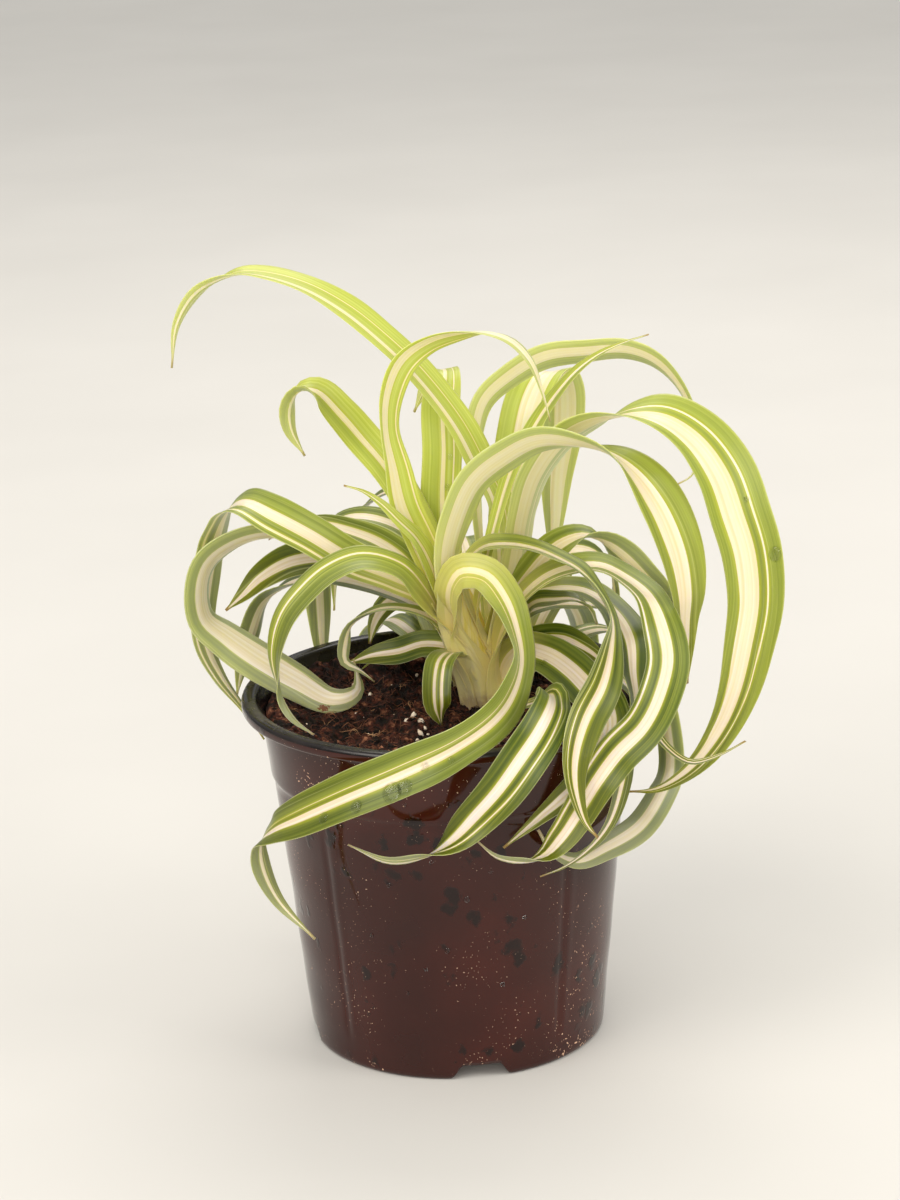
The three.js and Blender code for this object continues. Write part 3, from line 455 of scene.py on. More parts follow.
# Each is (node, width, share of it at the base, where the tip starts to taper, where it starts to widen, way
# that the upper face looks before its turn, (cream stripe's half share, its lean to one side, how young and
# bright, and the place and half share of a second stripe, if it has one), route). The width and the route
# are in millimetres, and the route's points are [x, y, z, turn in degrees].
LEAVES = [
    ("leaf_top_long_left", 13, 0.6, 0.6, 0, FRONT, (0.16, -0.35, 1.3, 0.35, 0.02), [
     [13, 13, 110, 60], [17, 18, 127, 55], [18, 21, 141, 50], [17, 20, 155, 48], [12, 18, 167, 46],
     [6, 16, 180, 46], [-5, 14, 196, 48], [-15, 12, 207, 52], [-25, 11, 216, 56], [-36, 10, 223, 60],
     [-47, 9, 227, 66], [-55, 8, 228, 76], [-62, 7, 226, 95], [-68, 6, 222, 115], [-73, 5, 214, 122],
     [-75, 4, 202, 122]]),
    ("leaf_top_left", 11.5, 0.6, 0.7, 0, FRONT, (0.15, 0.0, 1.2), [
     [5, 13, 117, 55], [0, 18, 129, 55], [-4, 19, 143, 45], [-10, 22, 156, 38], [-16, 25, 166, 30],
     [-22, 28, 173, 28], [-28, 27, 181, 28], [-35, 25, 189, 45], [-40, 23, 190, 85], [-43, 21, 186, 120],
     [-43, 20, 179, 140], [-39, 19, 171, 140]]),
    ("leaf_top_upright", 12, 0.6, 0.6, 0, (1, 0, 0), (0.12, 0.1, 1.25, 0.6, 0.03), [
     [6, 24, 112, -90], [1, 23, 125, -90], [0, 26, 139, -90], [0, 29, 154, -90], [1, 31, 168, -90],
     [1, 34, 180, -90], [2, 39, 187, -90], [2, 47, 189, -90], [-1, 54, 186, -80], [-4, 58, 180, -70],
     [-7, 60, 173, -60]]),
    ("leaf_top_behind", 14.5, 0.6, 0.6, 0, (0.958, -0.287, 0), (0.46, 0.15, 1.0), [
     [18, 26, 109, -90], [18, 32, 124, -90], [20, 37, 138, -90], [22, 41, 153, -90], [24, 44, 167, -90],
     [27, 48, 178, -90], [31, 54, 184, -90], [35, 62, 184, -90], [38, 71, 176, -90], [38, 77, 162, -90],
     [36, 81, 145, -90], [35, 83, 128, -90], [34, 83, 113, -90]]),
    ("leaf_top_right", 10.5, 0.6, 0.45, 0, FRONT, (0.32, 0.25, 0.95), [
     [11, 24, 111, -100], [12, 28, 132, -100], [11, 31, 153, -110], [11, 32, 171, -120], [14, 33, 182, -125],
     [22, 34, 189, -128], [32, 35, 194, -130], [44, 36, 195, -130], [56, 37, 195, -125], [65, 38, 191, -120],
     [72, 38, 183, -115], [76, 38, 173, -112], [77, 38, 163, -112], [75, 38, 156, -120],
     [70, 38, 153, -125]]),
    ("leaf_top_thin", 7, 0.6, 0.45, 0, FRONT, (0.2, 0.0, 1.0), [
     [7, 6, 123, -60], [12, 7, 138, -60], [16, 8, 153, -60], [21, 8, 168, -55], [27, 8, 179, -50],
     [33, 8, 188, -50], [40, 8, 196, -55], [47, 8, 201, -60], [54, 8, 204, -60], [61, 8, 206, -60]]),
    ("leaf_middle_hook", 10, 0.9, 0.5, 0, FRONT, (0.36, -0.3, 1.25, 0.7, 0.04), [
     [2, 4, 127, 15], [-2, 2, 139, 15], [-6, 0, 150, 18], [-10, -3, 161, 25], [-12, -4, 172, 40],
     [-14, -5, 184, 55], [-13, -5, 194, 50], [-9, -5, 203, 45], [-2, -4, 208, 55], [6, -3, 210, 70],
     [15, -2, 210, 100], [22, 0, 207, 118], [27, 1, 201, 122], [30, 2, 192, 118], [32, 2, 183, 110]]),
    ("leaf_middle_spike", 8, 1, 0.1, 0, FRONT, (0.14, 0.0, 1.15), [
     [0, 5, 128, 50], [-3, -2, 142, 50], [-7, -7, 152, 45], [-12, -12, 159, 45], [-17, -14, 165, 45],
     [-22, -15, 169, 50], [-27, -16, 171, 55]]),
    ("leaf_right_inner", 15.5, 0.6, 0.62, 0, FRONT, (0.4, 0.2, 0.78), [
     [3, 4, 124, -120], [2, -3, 135, -125], [2, -5, 146, -125], [5, -8, 158, -125], [10, -11, 169, -122],
     [19, -14, 177, -120], [28, -17, 182, -115], [38, -19, 182, -102], [47, -21, 180, -80],
     [55, -22, 174, -52], [62, -23, 164, -28], [67, -24, 151, -15], [69, -22, 138, -20], [69, -17, 127, -30],
     [69, -16, 117, -35], [69, -14, 108, -35]]),
    ("leaf_right_long", 17, 0.6, 0.6, 0, FRONT, (0.34, 0.24, 0.68, -0.42, 0.02), [
     [13, 11, 112, -110], [19, 14, 127, -118], [22, 12, 141, -125], [24, 7, 154, -125], [28, 0, 168, -125],
     [35, -6, 179, -118], [44, -11, 186, -102], [55, -14, 189, -70], [64, -16, 188, -42], [73, -18, 182, -24],
     [80, -20, 172, -10], [84, -22, 160, 0], [87, -23, 149, 5], [88, -23, 135, 5], [86, -23, 122, 2],
     [83, -22, 108, -5], [79, -20, 97, -12], [73, -18, 87, -20], [66, -16, 80, -30], [59, -14, 76, -40],
     [51, -12, 75, -45]]),
    ("leaf_right_3", 12, 0.6, 0.6, 0, FRONT, (0.3, 0.0, 0.5), [
     [13, 9, 111, -60], [18, 8, 125, -55], [25, 7, 136, -45], [34, 7, 145, -45], [42, 6, 148, -75],
     [48, 4, 146, -115], [53, 3, 142, -130], [58, 1, 137, -130], [63, 1, 131, -130], [67, 2, 122, -130],
     [71, 3, 113, -130]]),
    ("leaf_right_4", 11, 0.7, 0.72, 0, FRONT, (0.22, 0.0, 0.3, 0.6, 0.02), [
     [7, 9, 121, -90], [6, 8, 133, -90], [7, 6, 141, -80], [12, 1, 147, -70], [19, -4, 149, -65],
     [26, -9, 149, -65], [33, -17, 148, -68], [39, -24, 146, -72], [44, -30, 141, -78], [47, -36, 135, -75],
     [46, -43, 128, -50], [43, -52, 121, -25], [38, -59, 114, -15], [35, -64, 107, -20], [34, -66, 100, -30],
     [35, -67, 92, -40], [37, -67, 86, -40], [40, -67, 82, -40]]),
    ("leaf_right_5", 12.5, 0.6, 0.66, 0, FRONT, (0.26, 0.0, 0.3, 0.75, 0.05), [
     [11, 7, 110, -70], [17, 2, 123, -65], [22, -2, 132, -62], [29, -5, 139, -60], [37, -9, 143, -60],
     [45, -12, 144, -60], [52, -15, 141, -58], [58, -22, 137, -45], [61, -30, 130, -20], [62, -35, 122, -8],
     [59, -42, 114, -5], [54, -50, 108, -8], [46, -58, 103, -10], [40, -61, 96, -10], [35, -60, 87, -5],
     [30, -61, 80, 10], [25, -61, 75, 60], [19, -62, 74, 115], [12, -63, 76, 125], [7, -64, 81, 125]]),
    ("leaf_right_6", 8, 0.6, 0.6, 0, FRONT, (0.2, 0.0, 0.25), [
     [14, 14, 107, -50], [21, 16, 119, -52], [26, 12, 126, -55], [32, 5, 129, -58], [38, 1, 130, -70],
     [42, -1, 128, -105], [44, -2, 123, -150]]),
    ("leaf_right_7", 8, 0.6, 0.6, 0, FRONT, (0.3, 0.0, 0.35), [
     [18, 25, 106, -50], [23, 24, 118, -55], [31, 23, 122, -60], [40, 23, 122, -60], [46, 22, 121, -75],
     [49, 20, 117, -110], [50, 18, 111, -150], [48, 16, 105, -160]]),
    ("leaf_right_8", 12, 0.6, 0.55, 0, FRONT, (0.24, 0.0, 0.12), [
     [17, 28, 107, -70], [22, 24, 122, -65], [31, 19, 128, -60], [41, 14, 129, -60], [49, 3, 126, -50],
     [53, -13, 122, -25], [53, -26, 116, -45], [53, -37, 109, -60], [50, -42, 100, -60], [48, -46, 90, -55],
     [44, -50, 80, -58], [38, -54, 74, -60], [31, -57, 70, -65], [24, -59, 68, -65]]),
    ("leaf_right_9", 9, 0.6, 0.72, 0, FRONT, (0.3, 0.05, 0.2), [
     [19, 26, 106, -80], [25, 31, 116, -85], [35, 35, 121, -95], [48, 36, 117, -110], [58, 30, 108, -125],
     [63, 22, 96, -135], [65, 14, 85, -140], [65, 5, 76, -145], [61, -8, 72, -150], [54, -22, 68, -150],
     [44, -35, 67, -150], [35, -45, 67, -150], [29, -49, 71, -160], [26, -51, 75, -170],
     [24, -51, 79, -170]]),
    ("leaf_right_10", 8, 0.6, 0.4, 0, FRONT, (0.2, 0.0, 0.1, -0.6, 0.05), [
     [20, 23, 103, -60], [25, 22, 110, -60], [32, 20, 114, -60], [40, 12, 112, -55], [47, -3, 110, -45],
     [53, -20, 108, -50], [57, -32, 102, -60], [62, -36, 96, -65], [68, -36, 92, -60], [76, -34, 93, -60],
     [84, -31, 96, -60]]),
    ("leaf_right_11", 10, 0.6, 0.5, 0, FRONT, (0.22, 0.0, 0.1), [
     [16, 12, 101, -40], [20, 7, 111, -40], [26, 4, 117, -38], [33, 0, 119, -35], [39, -6, 118, -30],
     [44, -10, 115, -30], [47, -13, 110, -30]]),
    ("leaf_right_12", 13, 0.6, 0.5, 0, FRONT, (0.34, 0.0, 0.1), [
     [13, 11, 99, -30], [17, 6, 108, -30], [22, 1, 115, -28], [29, -7, 116, -22], [35, -15, 114, -18],
     [40, -24, 111, -15], [44, -35, 109, -10], [44, -48, 106, 0], [39, -53, 96, 10], [32, -54, 90, 20],
     [24, -56, 84, 30], [14, -59, 77, 35]]),
    ("leaf_right_13", 6, 0.6, 0.3, 0, FRONT, (0.4, 0.0, 0.6), [
     [17, 28, 101, -80], [19, 42, 107, -82], [25, 54, 116, -85], [33, 58, 124, -90], [38, 60, 123, -100],
     [39, 60, 120, -110], [37, 59, 116, -120], [33, 58, 117, -120]]),
    ("leaf_right_14", 10, 0.6, 0.5, 0, FRONT, (0.35, 0.0, 0.4), [
     [17, 28, 108, -60], [23, 34, 120, -55], [31, 40, 129, -50], [39, 43, 133, -50], [46, 45, 131, -60],
     [51, 46, 125, -90], [52, 46, 117, -120], [52, 46, 107, -130]]),
    ("leaf_front_long", 13, 0.6, 0.62, 0, FRONT, (0.17, -0.1, 0.42, 0.3, 0.01), [
     [3, 4, 123, -60], [1, -9, 133, -50], [2, -13, 140, -40], [5, -15, 144, -25], [12, -19, 144, -25],
     [17, -25, 139, -30], [20, -32, 132, -50], [21, -41, 125, -60], [18, -51, 119, -45], [12, -62, 115, -35],
     [1, -69, 110, -30], [-14, -71, 104, 0], [-29, -68, 97, 18], [-42, -61, 89, 25], [-50, -54, 83, 55],
     [-54, -48, 77, 105], [-54, -45, 69, 140], [-50, -42, 57, 150], [-40, -45, 46, 150]]),
    ("leaf_front_curl", 8.5, 0.75, 0.8, 0, (0, -0.35, 0.94), (0.1, 0.15, 0.4, -0.35, 0.08), [
     [5, 8, 113, 10], [2, 1, 115, 8], [0, -6, 117, 5], [-2, -12, 116, 0], [-3, -16, 111, -4],
     [-3, -18, 105, -6], [-2, -17, 99, -8]]),
    ("leaf_front_hook", 6.5, 0.6, 0.5, 0, FRONT, (0.34, 0.0, 0.5), [
     [4, 6, 115, 60], [-3, 2, 125, 60], [-12, -2, 130, 70], [-20, -6, 131, 80], [-27, -9, 128, 100],
     [-29, -10, 122, 140], [-29, -10, 117, 150], [-25, -9, 114, 130], [-21, -8, 110, 110]]),
    ("leaf_front_right", 13.5, 0.4, 0.55, 0.26, FRONT, (0.24, 0.1, 0.12, -0.48, 0.02), [
     [12, 7, 99, -70], [16, -4, 100, -70], [20, -17, 104, -70], [25, -31, 110, -70], [29, -43, 116, -60],
     [29, -54, 116, -15], [25, -62, 111, 0], [20, -66, 105, 0], [14, -67, 97, 0], [7, -66, 89, 5],
     [0, -65, 82, 40], [-8, -63, 77, 100], [-18, -61, 75, 120], [-29, -60, 80, 120]]),
    ("leaf_front_left", 11, 0.7, 0.5, 0, FRONT, (0.06, 0.5, 0.5), [
     [1, 5, 122, 60], [-6, -5, 135, 55], [-13, -11, 145, 55], [-23, -15, 149, 52], [-32, -19, 147, 48],
     [-39, -22, 142, 45], [-45, -24, 135, 45], [-48, -26, 126, 52], [-48, -27, 119, 70], [-47, -28, 112, 110],
     [-44, -30, 107, 130], [-38, -33, 103, 130]]),
    ("leaf_front_low", 8.5, 0.8, 0.55, 0, FRONT, (0.24, 0.0, 0.12), [
     [7, 7, 110, 40], [2, 8, 114, 30], [-6, 11, 115, 25], [-14, 14, 112, 25], [-22, 17, 110, 30],
     [-29, 20, 107, 35]]),
    ("leaf_left_1", 14, 0.6, 0.7, 0, FRONT, (0.5, 0.1, 0.5), [
     [5, 13, 112, 60], [-1, 12, 125, 55], [-13, 11, 136, 60], [-27, 11, 143, 78], [-41, 10, 149, 100],
     [-52, 8, 151, 105], [-61, 6, 149, 110], [-68, 5, 144, 115], [-71, 5, 136, 118], [-70, 6, 126, 125],
     [-64, 7, 120, 140], [-55, 7, 113, 155], [-44, 6, 106, 162], [-35, 4, 101, 162], [-29, 2, 102, 170],
     [-26, 1, 105, 200], [-26, 1, 109, 230], [-27, 2, 114, 240]]),
    ("leaf_left_2", 14, 0.75, 0.45, 0, FRONT, (0.26, 0.05, 0.45, -0.7, 0.06), [
     [2, 8, 119, 40], [-4, 6, 131, 38], [-14, 3, 138, 36], [-27, 0, 145, 34], [-38, -2, 153, 34],
     [-48, -2, 159, 36], [-56, 3, 162, 55], [-62, 11, 158, 90], [-66, 17, 149, 120], [-69, 20, 137, 130],
     [-71, 21, 125, 135], [-71, 20, 114, 135], [-67, 19, 104, 130], [-61, 18, 95, 125], [-55, 17, 85, 120]]),
    ("leaf_left_3", 13, 0.6, 0.65, 0, FRONT, (0.28, 0.0, 0.2), [
     [5, 25, 110, 70], [-4, 24, 124, 60], [-17, 22, 134, 50], [-32, 19, 140, 45], [-44, 17, 140, 35],
     [-53, 15, 136, 30], [-59, 13, 131, 30], [-64, 12, 127, 30]]),
    ("leaf_left_4", 11, 0.8, 0.5, 0, FRONT, (0.3, 0.0, 0.5), [
     [4, 13, 114, 60], [-4, 18, 126, 50], [-10, 20, 137, 42], [-18, 23, 143, 40], [-27, 23, 147, 42],
     [-36, 21, 150, 50], [-44, 22, 149, 60], [-51, 23, 145, 70]]),
    ("leaf_left_5", 10, 0.6, 0.65, 0, FRONT, (0.3, 0.0, 0.25), [
     [5, 29, 110, 60], [-1, 33, 129, 55], [-11, 35, 143, 52], [-23, 38, 147, 55], [-32, 43, 144, 75],
     [-37, 46, 135, 110], [-38, 50, 123, 140], [-38, 53, 111, 150], [-38, 55, 100, 150], [-37, 56, 88, 150]]),
    ("leaf_left_6", 10, 0.6, 0.5, 0, FRONT, (0.3, 0.0, 0.2), [
     [6, 31, 109, 70], [2, 42, 131, 70], [-4, 46, 148, 70], [-13, 48, 152, 75], [-22, 53, 147, 85],
     [-29, 58, 137, 105], [-33, 62, 124, 125], [-34, 64, 110, 130]]),
    ("leaf_left_7", 8, 0.6, 0.55, 0, FRONT, (0.4, 0.0, 0.2), [
     [6, 30, 107, 50], [-1, 37, 116, 40], [-9, 40, 120, 30], [-16, 42, 119, 20], [-21, 42, 113, 10],
     [-23, 41, 106, 5]]),
    ("leaf_left_8", 12, 0.6, 0.65, 0, FRONT, (0.35, 0.0, 0.15), [
     [5, 29, 107, 70], [-6, 31, 119, 65], [-19, 32, 126, 65], [-34, 32, 130, 68], [-46, 31, 129, 80],
     [-54, 30, 124, 110], [-58, 28, 115, 130], [-61, 27, 105, 135], [-63, 26, 96, 135]]),
    ("leaf_back_1", 12, 0.6, 0.45, 0, (0.97, -0.24, 0), (0.3, 0.0, 0.2), [
     [14, 28, 99, -90], [18, 42, 112, -90], [20, 55, 117, -90], [22, 67, 110, -90], [23, 74, 95, -90],
     [23, 76, 78, -90], [21, 74, 62, -90]]),
    ("leaf_back_2", 13, 0.6, 0.45, 0, (0.93, 0.37, 0), (0.26, 0.0, 0.2, 0.6, 0.04), [
     [7, 28, 99, -90], [-1, 40, 109, -90], [-4, 54, 114, -90], [-6, 67, 107, -90], [-8, 75, 92, -90],
     [-8, 77, 74, -90], [-6, 75, 58, -90]]),
    ("leaf_back_3", 10, 0.6, 0.45, 0, (0.71, 0.71, 0), (0.3, 0.0, 0.25), [
     [6, 26, 99, -90], [-8, 42, 107, -90], [-17, 56, 109, -90], [-24, 67, 100, -90], [-28, 73, 86, -90],
     [-28, 74, 70, -90]]),
    ("leaf_back_4", 12, 0.6, 0.45, 0, (0.71, -0.71, 0), (0.26, 0.0, 0.15), [
     [19, 28, 99, -90], [29, 40, 112, -90], [35, 52, 116, -90], [41, 63, 107, -90], [44, 69, 91, -90],
     [45, 70, 72, -90], [43, 68, 56, -90]]),
    ("leaf_back_5", 11, 0.6, 0.45, 0, (0.42, -0.91, 0), (0.3, 0.0, 0.2, -0.65, 0.05), [
     [19, 27, 99, -90], [36, 36, 106, -90], [49, 44, 107, -90], [60, 50, 98, -90], [66, 53, 84, -90],
     [67, 52, 68, -90]]),
    ("leaf_back_6", 13.5, 0.6, 0.5, 0, (1, 0, 0), (0.3, 0.0, 0.35), [
     [10, 28, 101, -90], [9, 42, 117, -90], [7, 55, 128, -90], [5, 69, 131, -90], [4, 81, 120, -90],
     [3, 86, 102, -90], [1, 85, 84, -90]]),
    ("leaf_back_7", 9, 0.6, 0.45, 0, (0.42, 0.91, 0), (0.3, 0.0, 0.2), [
     [8, 21, 99, -90], [-6, 25, 108, -90], [-18, 29, 107, -90], [-26, 31, 101, -90]]),
]
BLADE_THICK = 0.55 * MM
EDGE_THICK = 0.16 * MM
ROW_PITCH = 1.8 * MM
SPAN_STEPS = 40
COLUMNS = 25
WIDENS_OVER = 0.35
TIP_SHARPNESS = 1.8
TIP_WIDTH = 0.9 * MM
FOLD_AT_BASE = 0.5
FOLD_OUTSIDE = 0.2
FOLD_OPENS_BY = 0.15
GROOVE_DEPTH = 0.12 * MM
RIB_HEIGHT = 0.02 * MM
MARGIN_RIPPLE = 0.3 * MM
RIPPLE_PITCH = 5.5 * MM
RIPPLE_SPELL = 31 * MM
SWAY = 2.5
SWAY_PITCH = 19 * MM
SWELL = 0.025
SWELL_PITCH = 23 * MM
SHEATH_FROM = 94
SHEATH_STEP = 9
SHEATH_SPREAD = 0.15
# How a leaf's colours run: how far noise moves the stripe and the second one, how much older the tip is than
# the base, and how much of the pale lower skin shows over the green
STRIPE_WANDER = 0.22
SECOND_WANDER = 0.12
TIP_AGE = 0.85
UNDERSIDE_HAZE = 0.24
# The place and half share of a second stripe that lies off the blade
NO_STRIPE = (3, 0)
# Where the rim rubbed the broad left leaf, and how far the brown scar reaches
SCAR = np.array([-0.0362, 0.0030, 0.0990])
SCAR_SIZE = np.array([3.8, 3.8, 1.727]) * MM
# The shoots that the leaves clasp, each with points [x, y, z, radius] in millimetres
SHOOTS = [[[12, 12, 84, 4.6], [12, 11, 97, 4.8], [9, 10, 110, 4.8], [4, 7, 122, 4.6], [1, 5, 134, 3.4],
           [-1, 4, 141, 1.2]],
          [[11, 24, 84, 5], [10, 25, 97, 5.4], [8, 27, 110, 5], [6, 28, 122, 3.6], [5, 29, 129, 1.2]],
          [[18, 25, 86, 3.6], [19, 26, 97, 4.4], [20, 27, 107, 4.2], [22, 29, 115, 3], [23, 30, 119, 1.2]]]


def unit(rows):
    """Each row divided by its own length."""
    return rows / np.linalg.norm(rows, axis=-1, keepdims=True)


def square_to(along, direction):
    """The direction made square to each row of along, one unit long."""
    return unit(direction - (along @ direction)[:, None] * along)


def smooth_route(route, first_span=0):
    """Centripetal Catmull-Rom curve through the route, as rows of (x, y, z, turn) at even steps of length.

    Knots are spaced by the square root of each chord, the ends are carried on straight, and every span is
    blended from its four nearest points by Barry and Goldman's pyramid. The run is 0 where first_span starts.
    """
    given = np.array(route, dtype=float)
    given[:, :3] *= MM
    points = np.vstack([2 * given[0] - given[1], given, 2 * given[-1] - given[-2]])
    knots = np.concatenate([[0], np.cumsum(np.linalg.norm(np.diff(points[:, :3], axis=0), axis=1) ** 0.5)])
    spans = []
    for first in range(len(given) - 1):
        t0, t1, t2, t3 = knots[first:first + 4]
        p0, p1, p2, p3 = points[first:first + 4]
        t = np.linspace(t1, t2, SPAN_STEPS)[:, None]
        a1 = ((t1 - t) * p0 + (t - t0) * p1) / (t1 - t0)
        a2 = ((t2 - t) * p1 + (t - t1) * p2) / (t2 - t1)
        a3 = ((t3 - t) * p2 + (t - t2) * p3) / (t3 - t2)
        b1 = ((t2 - t) * a1 + (t - t0) * a2) / (t2 - t0)
        b2 = ((t3 - t) * a2 + (t - t1) * a3) / (t3 - t1)
        spans.append(((t2 - t) * b1 + (t - t1) * b2) / (t2 - t1))
    curve = np.vstack([spans[0]] + [span[1:] for span in spans[1:]])
    run = np.concatenate([[0], np.cumsum(np.linalg.norm(np.diff(curve[:, :3], axis=0), axis=1))])
    even = np.linspace(0, run[-1], max(12, int(run[-1] / ROW_PITCH)))
    return (np.column_stack([np.interp(even, run, curve[:, k]) for k in range(4)]),
            even - run[(SPAN_STEPS - 1) * first_span])


def rooted_route(route, faces):
    """The route carried down to the peat: its first point gives way to points up the outside of its shoot.

    They stand on the shoot's radius plus a layer that is thicker the lower the leaf parts from the shoot, on
    the side where it parts, and their turn brings the upper face round toward the shoot's middle.
    """
    start, after = np.array(route[0][:3], dtype=float), np.array(route[1][:3], dtype=float)
    shoots = [np.array(shoot, dtype=float) for shoot in SHOOTS]
    at_start = [[np.interp(start[2], shoot[:, 2], shoot[:, k]) for k in range(4)] for shoot in shoots]
    nearest = int(np.argmin([math.dist(start[:2], at[:2]) - at[3] for at in at_start]))
    shoot = shoots[nearest]
    outward = np.append(unit(after[:2] - at_start[nearest][:2]), 0)
    steps = max(2, int(np.ceil((start[2] - SHEATH_FROM) / SHEATH_STEP)))
    heights = np.linspace(SHEATH_FROM, start[2] - 1, steps)
    middle = np.stack([np.interp(heights, shoot[:, 2], shoot[:, k]) for k in range(4)], axis=1)
    layer = 0.2 + 1.3 * np.clip((130 - start[2]) / 30, 0, 1)
    foot = np.column_stack([middle[:, :2] + outward[:2] * (middle[:, 3:] + layer), heights])
    along = unit(np.gradient(np.vstack([foot, after]), axis=0)[:-1])
    flat = square_to(along, np.array(faces, dtype=float))
    turn = np.degrees(np.arctan2(-np.cross(along, flat) @ outward, -flat @ outward))
    turn = turn + 360 * np.round((route[0][3] - turn) / 360)
    turn = turn + (route[0][3] - turn) * 0.55 * np.linspace(0, 1, steps) ** 2
    return np.column_stack([foot, turn]).tolist() + route[1:], steps - 1


def leaf_surface(wide, base, taper, waist, faces, route, seed):
    """Blade: a grid of (row along the route, column across), as its upper and lower faces, from the peat up.

    The upper face looks along `faces`, made square to the route and turned about it. From the waist on, the
    width grows by a quarter sine from the base's share, and it falls to the tip as 1 - t^1.8. Across, the
    blade is a rounded fold, fold x half width x (|v|^1.4 - 1/2), with a groove along the midrib and a few
    shallow ribs beside it, and its margins ripple by 0.3 mm.
    """
    random = np.random.default_rng(seed)
    centre, run = smooth_route(*rooted_route(route, faces))
    share = run / run[-1]
    sheath = np.clip(-run / (10 * MM), 0, 1)
    tangent = unit(np.gradient(centre[:, :3], axis=0))
    flat = square_to(tangent, np.array(faces, dtype=float))
    turn = np.radians(centre[:, 3] + SWAY * np.sin(run / SWAY_PITCH + random.uniform(0, 6)))[:, None]
    normal = flat * np.cos(turn) + np.cross(tangent, flat) * np.sin(turn)
    grows = base + (1 - base) * np.sin(np.pi / 2 * np.clip((share - waist) / WIDENS_OVER, 0, 1))
    narrows = 1 - np.clip((share - taper) / (1 - taper), 0, 1) ** TIP_SHARPNESS
    half = np.maximum(TIP_WIDTH, wide * MM * grows * narrows)[:, None] / 2
    swell = 1 + SWELL * np.sin(run / SWELL_PITCH + random.uniform(0, 6)) + SHEATH_SPREAD * sheath
    half = half * swell[:, None]
    fold = FOLD_AT_BASE + (FOLD_OUTSIDE - FOLD_AT_BASE) * np.clip(share / FOLD_OPENS_BY, 0, 1) + 0.2 * sheath
    v = np.linspace(-1, 1, COLUMNS)[None, :]
    beside = np.abs(v)
    lift = fold[:, None] * half * (beside ** 1.4 - 0.5) - GROOVE_DEPTH * np.exp(-(v * half / (0.5 * MM)) ** 2)
    lift = lift + RIB_HEIGHT * np.cos(v * 5 * np.pi) * (1 - beside) * np.minimum(1, half / (4 * MM))
    ripple = np.sin(run[:, None] / RIPPLE_PITCH + np.sign(v) * 1.7 + random.uniform(0, 6))
    ripple = ripple * np.sin(run[:, None] / RIPPLE_SPELL + random.uniform(0, 6))
    lift = lift + MARGIN_RIPPLE * ripple * beside ** 3 * np.minimum(1, half / (5 * MM))
    thick = EDGE_THICK + (BLADE_THICK - EDGE_THICK) * (1 - beside ** 3)
    thick = thick * np.clip(half / (2.5 * MM), 0.4, 1)
    side = np.cross(tangent, normal)
    middle = centre[:, None, :3] + side[:, None] * (half * v)[..., None] + normal[:, None] * lift[..., None]
    skin = normal[:, None] * (thick / 2)[..., None]
    return middle + skin, middle - skin, half, run, v, centre[:, 2]


def strap_leaf(name, wide, base, taper, waist, faces, look, route, seed, material):
    """One blade as a closed mesh, with the vectors that its material reads kept on its points.

    blade_mm is (across and along in mm, a shift of its own), blade_share (share of the way out to the margin,
    share of the way along, haze of the lower skin), blade_look (stripe's half share, place from its middle
    less half its wander, youth) and blade_second (place from the second stripe's middle less half its wander,
    -1.5 times its half share, how deep the leaf is buried in the crown).
    """
    upper, lower, half, run, v, height = leaf_surface(wide, base, taper, waist, faces, route, seed)
    rows, sides = len(run), 2 * COLUMNS
    ring = np.concatenate([upper, lower[:, ::-1]], axis=1)
    near = np.arange(COLUMNS - 1)
    cap = np.stack([near, sides - 1 - near, sides - 2 - near, near + 1], axis=1)
    leaf_faces = [face[::-1] for face in ring_faces(rows, sides)]
    leaf_faces += cap[:, ::-1].tolist() + (cap + (rows - 1) * sides).tolist()
    piece = make_piece(name.replace("leaf", "blade"), ring, leaf_faces, [material])
    v = np.concatenate([v, v[:, ::-1]], axis=1)
    along = (run / run[-1])[:, None]
    stripe, lean, youth, second, second_half = (*look, *NO_STRIPE)[:5]
    buried = np.where(run < 0, 1 - smooth_step(height, 95 * MM, 105 * MM), 0)[:, None]
    kept = {"blade_mm": (v * half / MM, run[:, None] / MM, 37 * seed),
            "blade_share": (np.abs(v), along, UNDERSIDE_HAZE * (np.arange(sides) >= COLUMNS)),
            "blade_look": (stripe, v - lean - STRIPE_WANDER / 2, youth - TIP_AGE * along),
            "blade_second": (v - second - SECOND_WANDER / 2, -1.5 * second_half, buried)}
    for title, values in kept.items():
        vectors = np.stack([np.broadcast_to(value, (rows, sides)) for value in values], axis=-1)
        layer = piece.data.attributes.new(title, "FLOAT_VECTOR", "POINT")
        layer.data.foreach_set("vector", vectors.astype(np.float32).ravel())
    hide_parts(name)
    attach(piece, "root")
    return upper


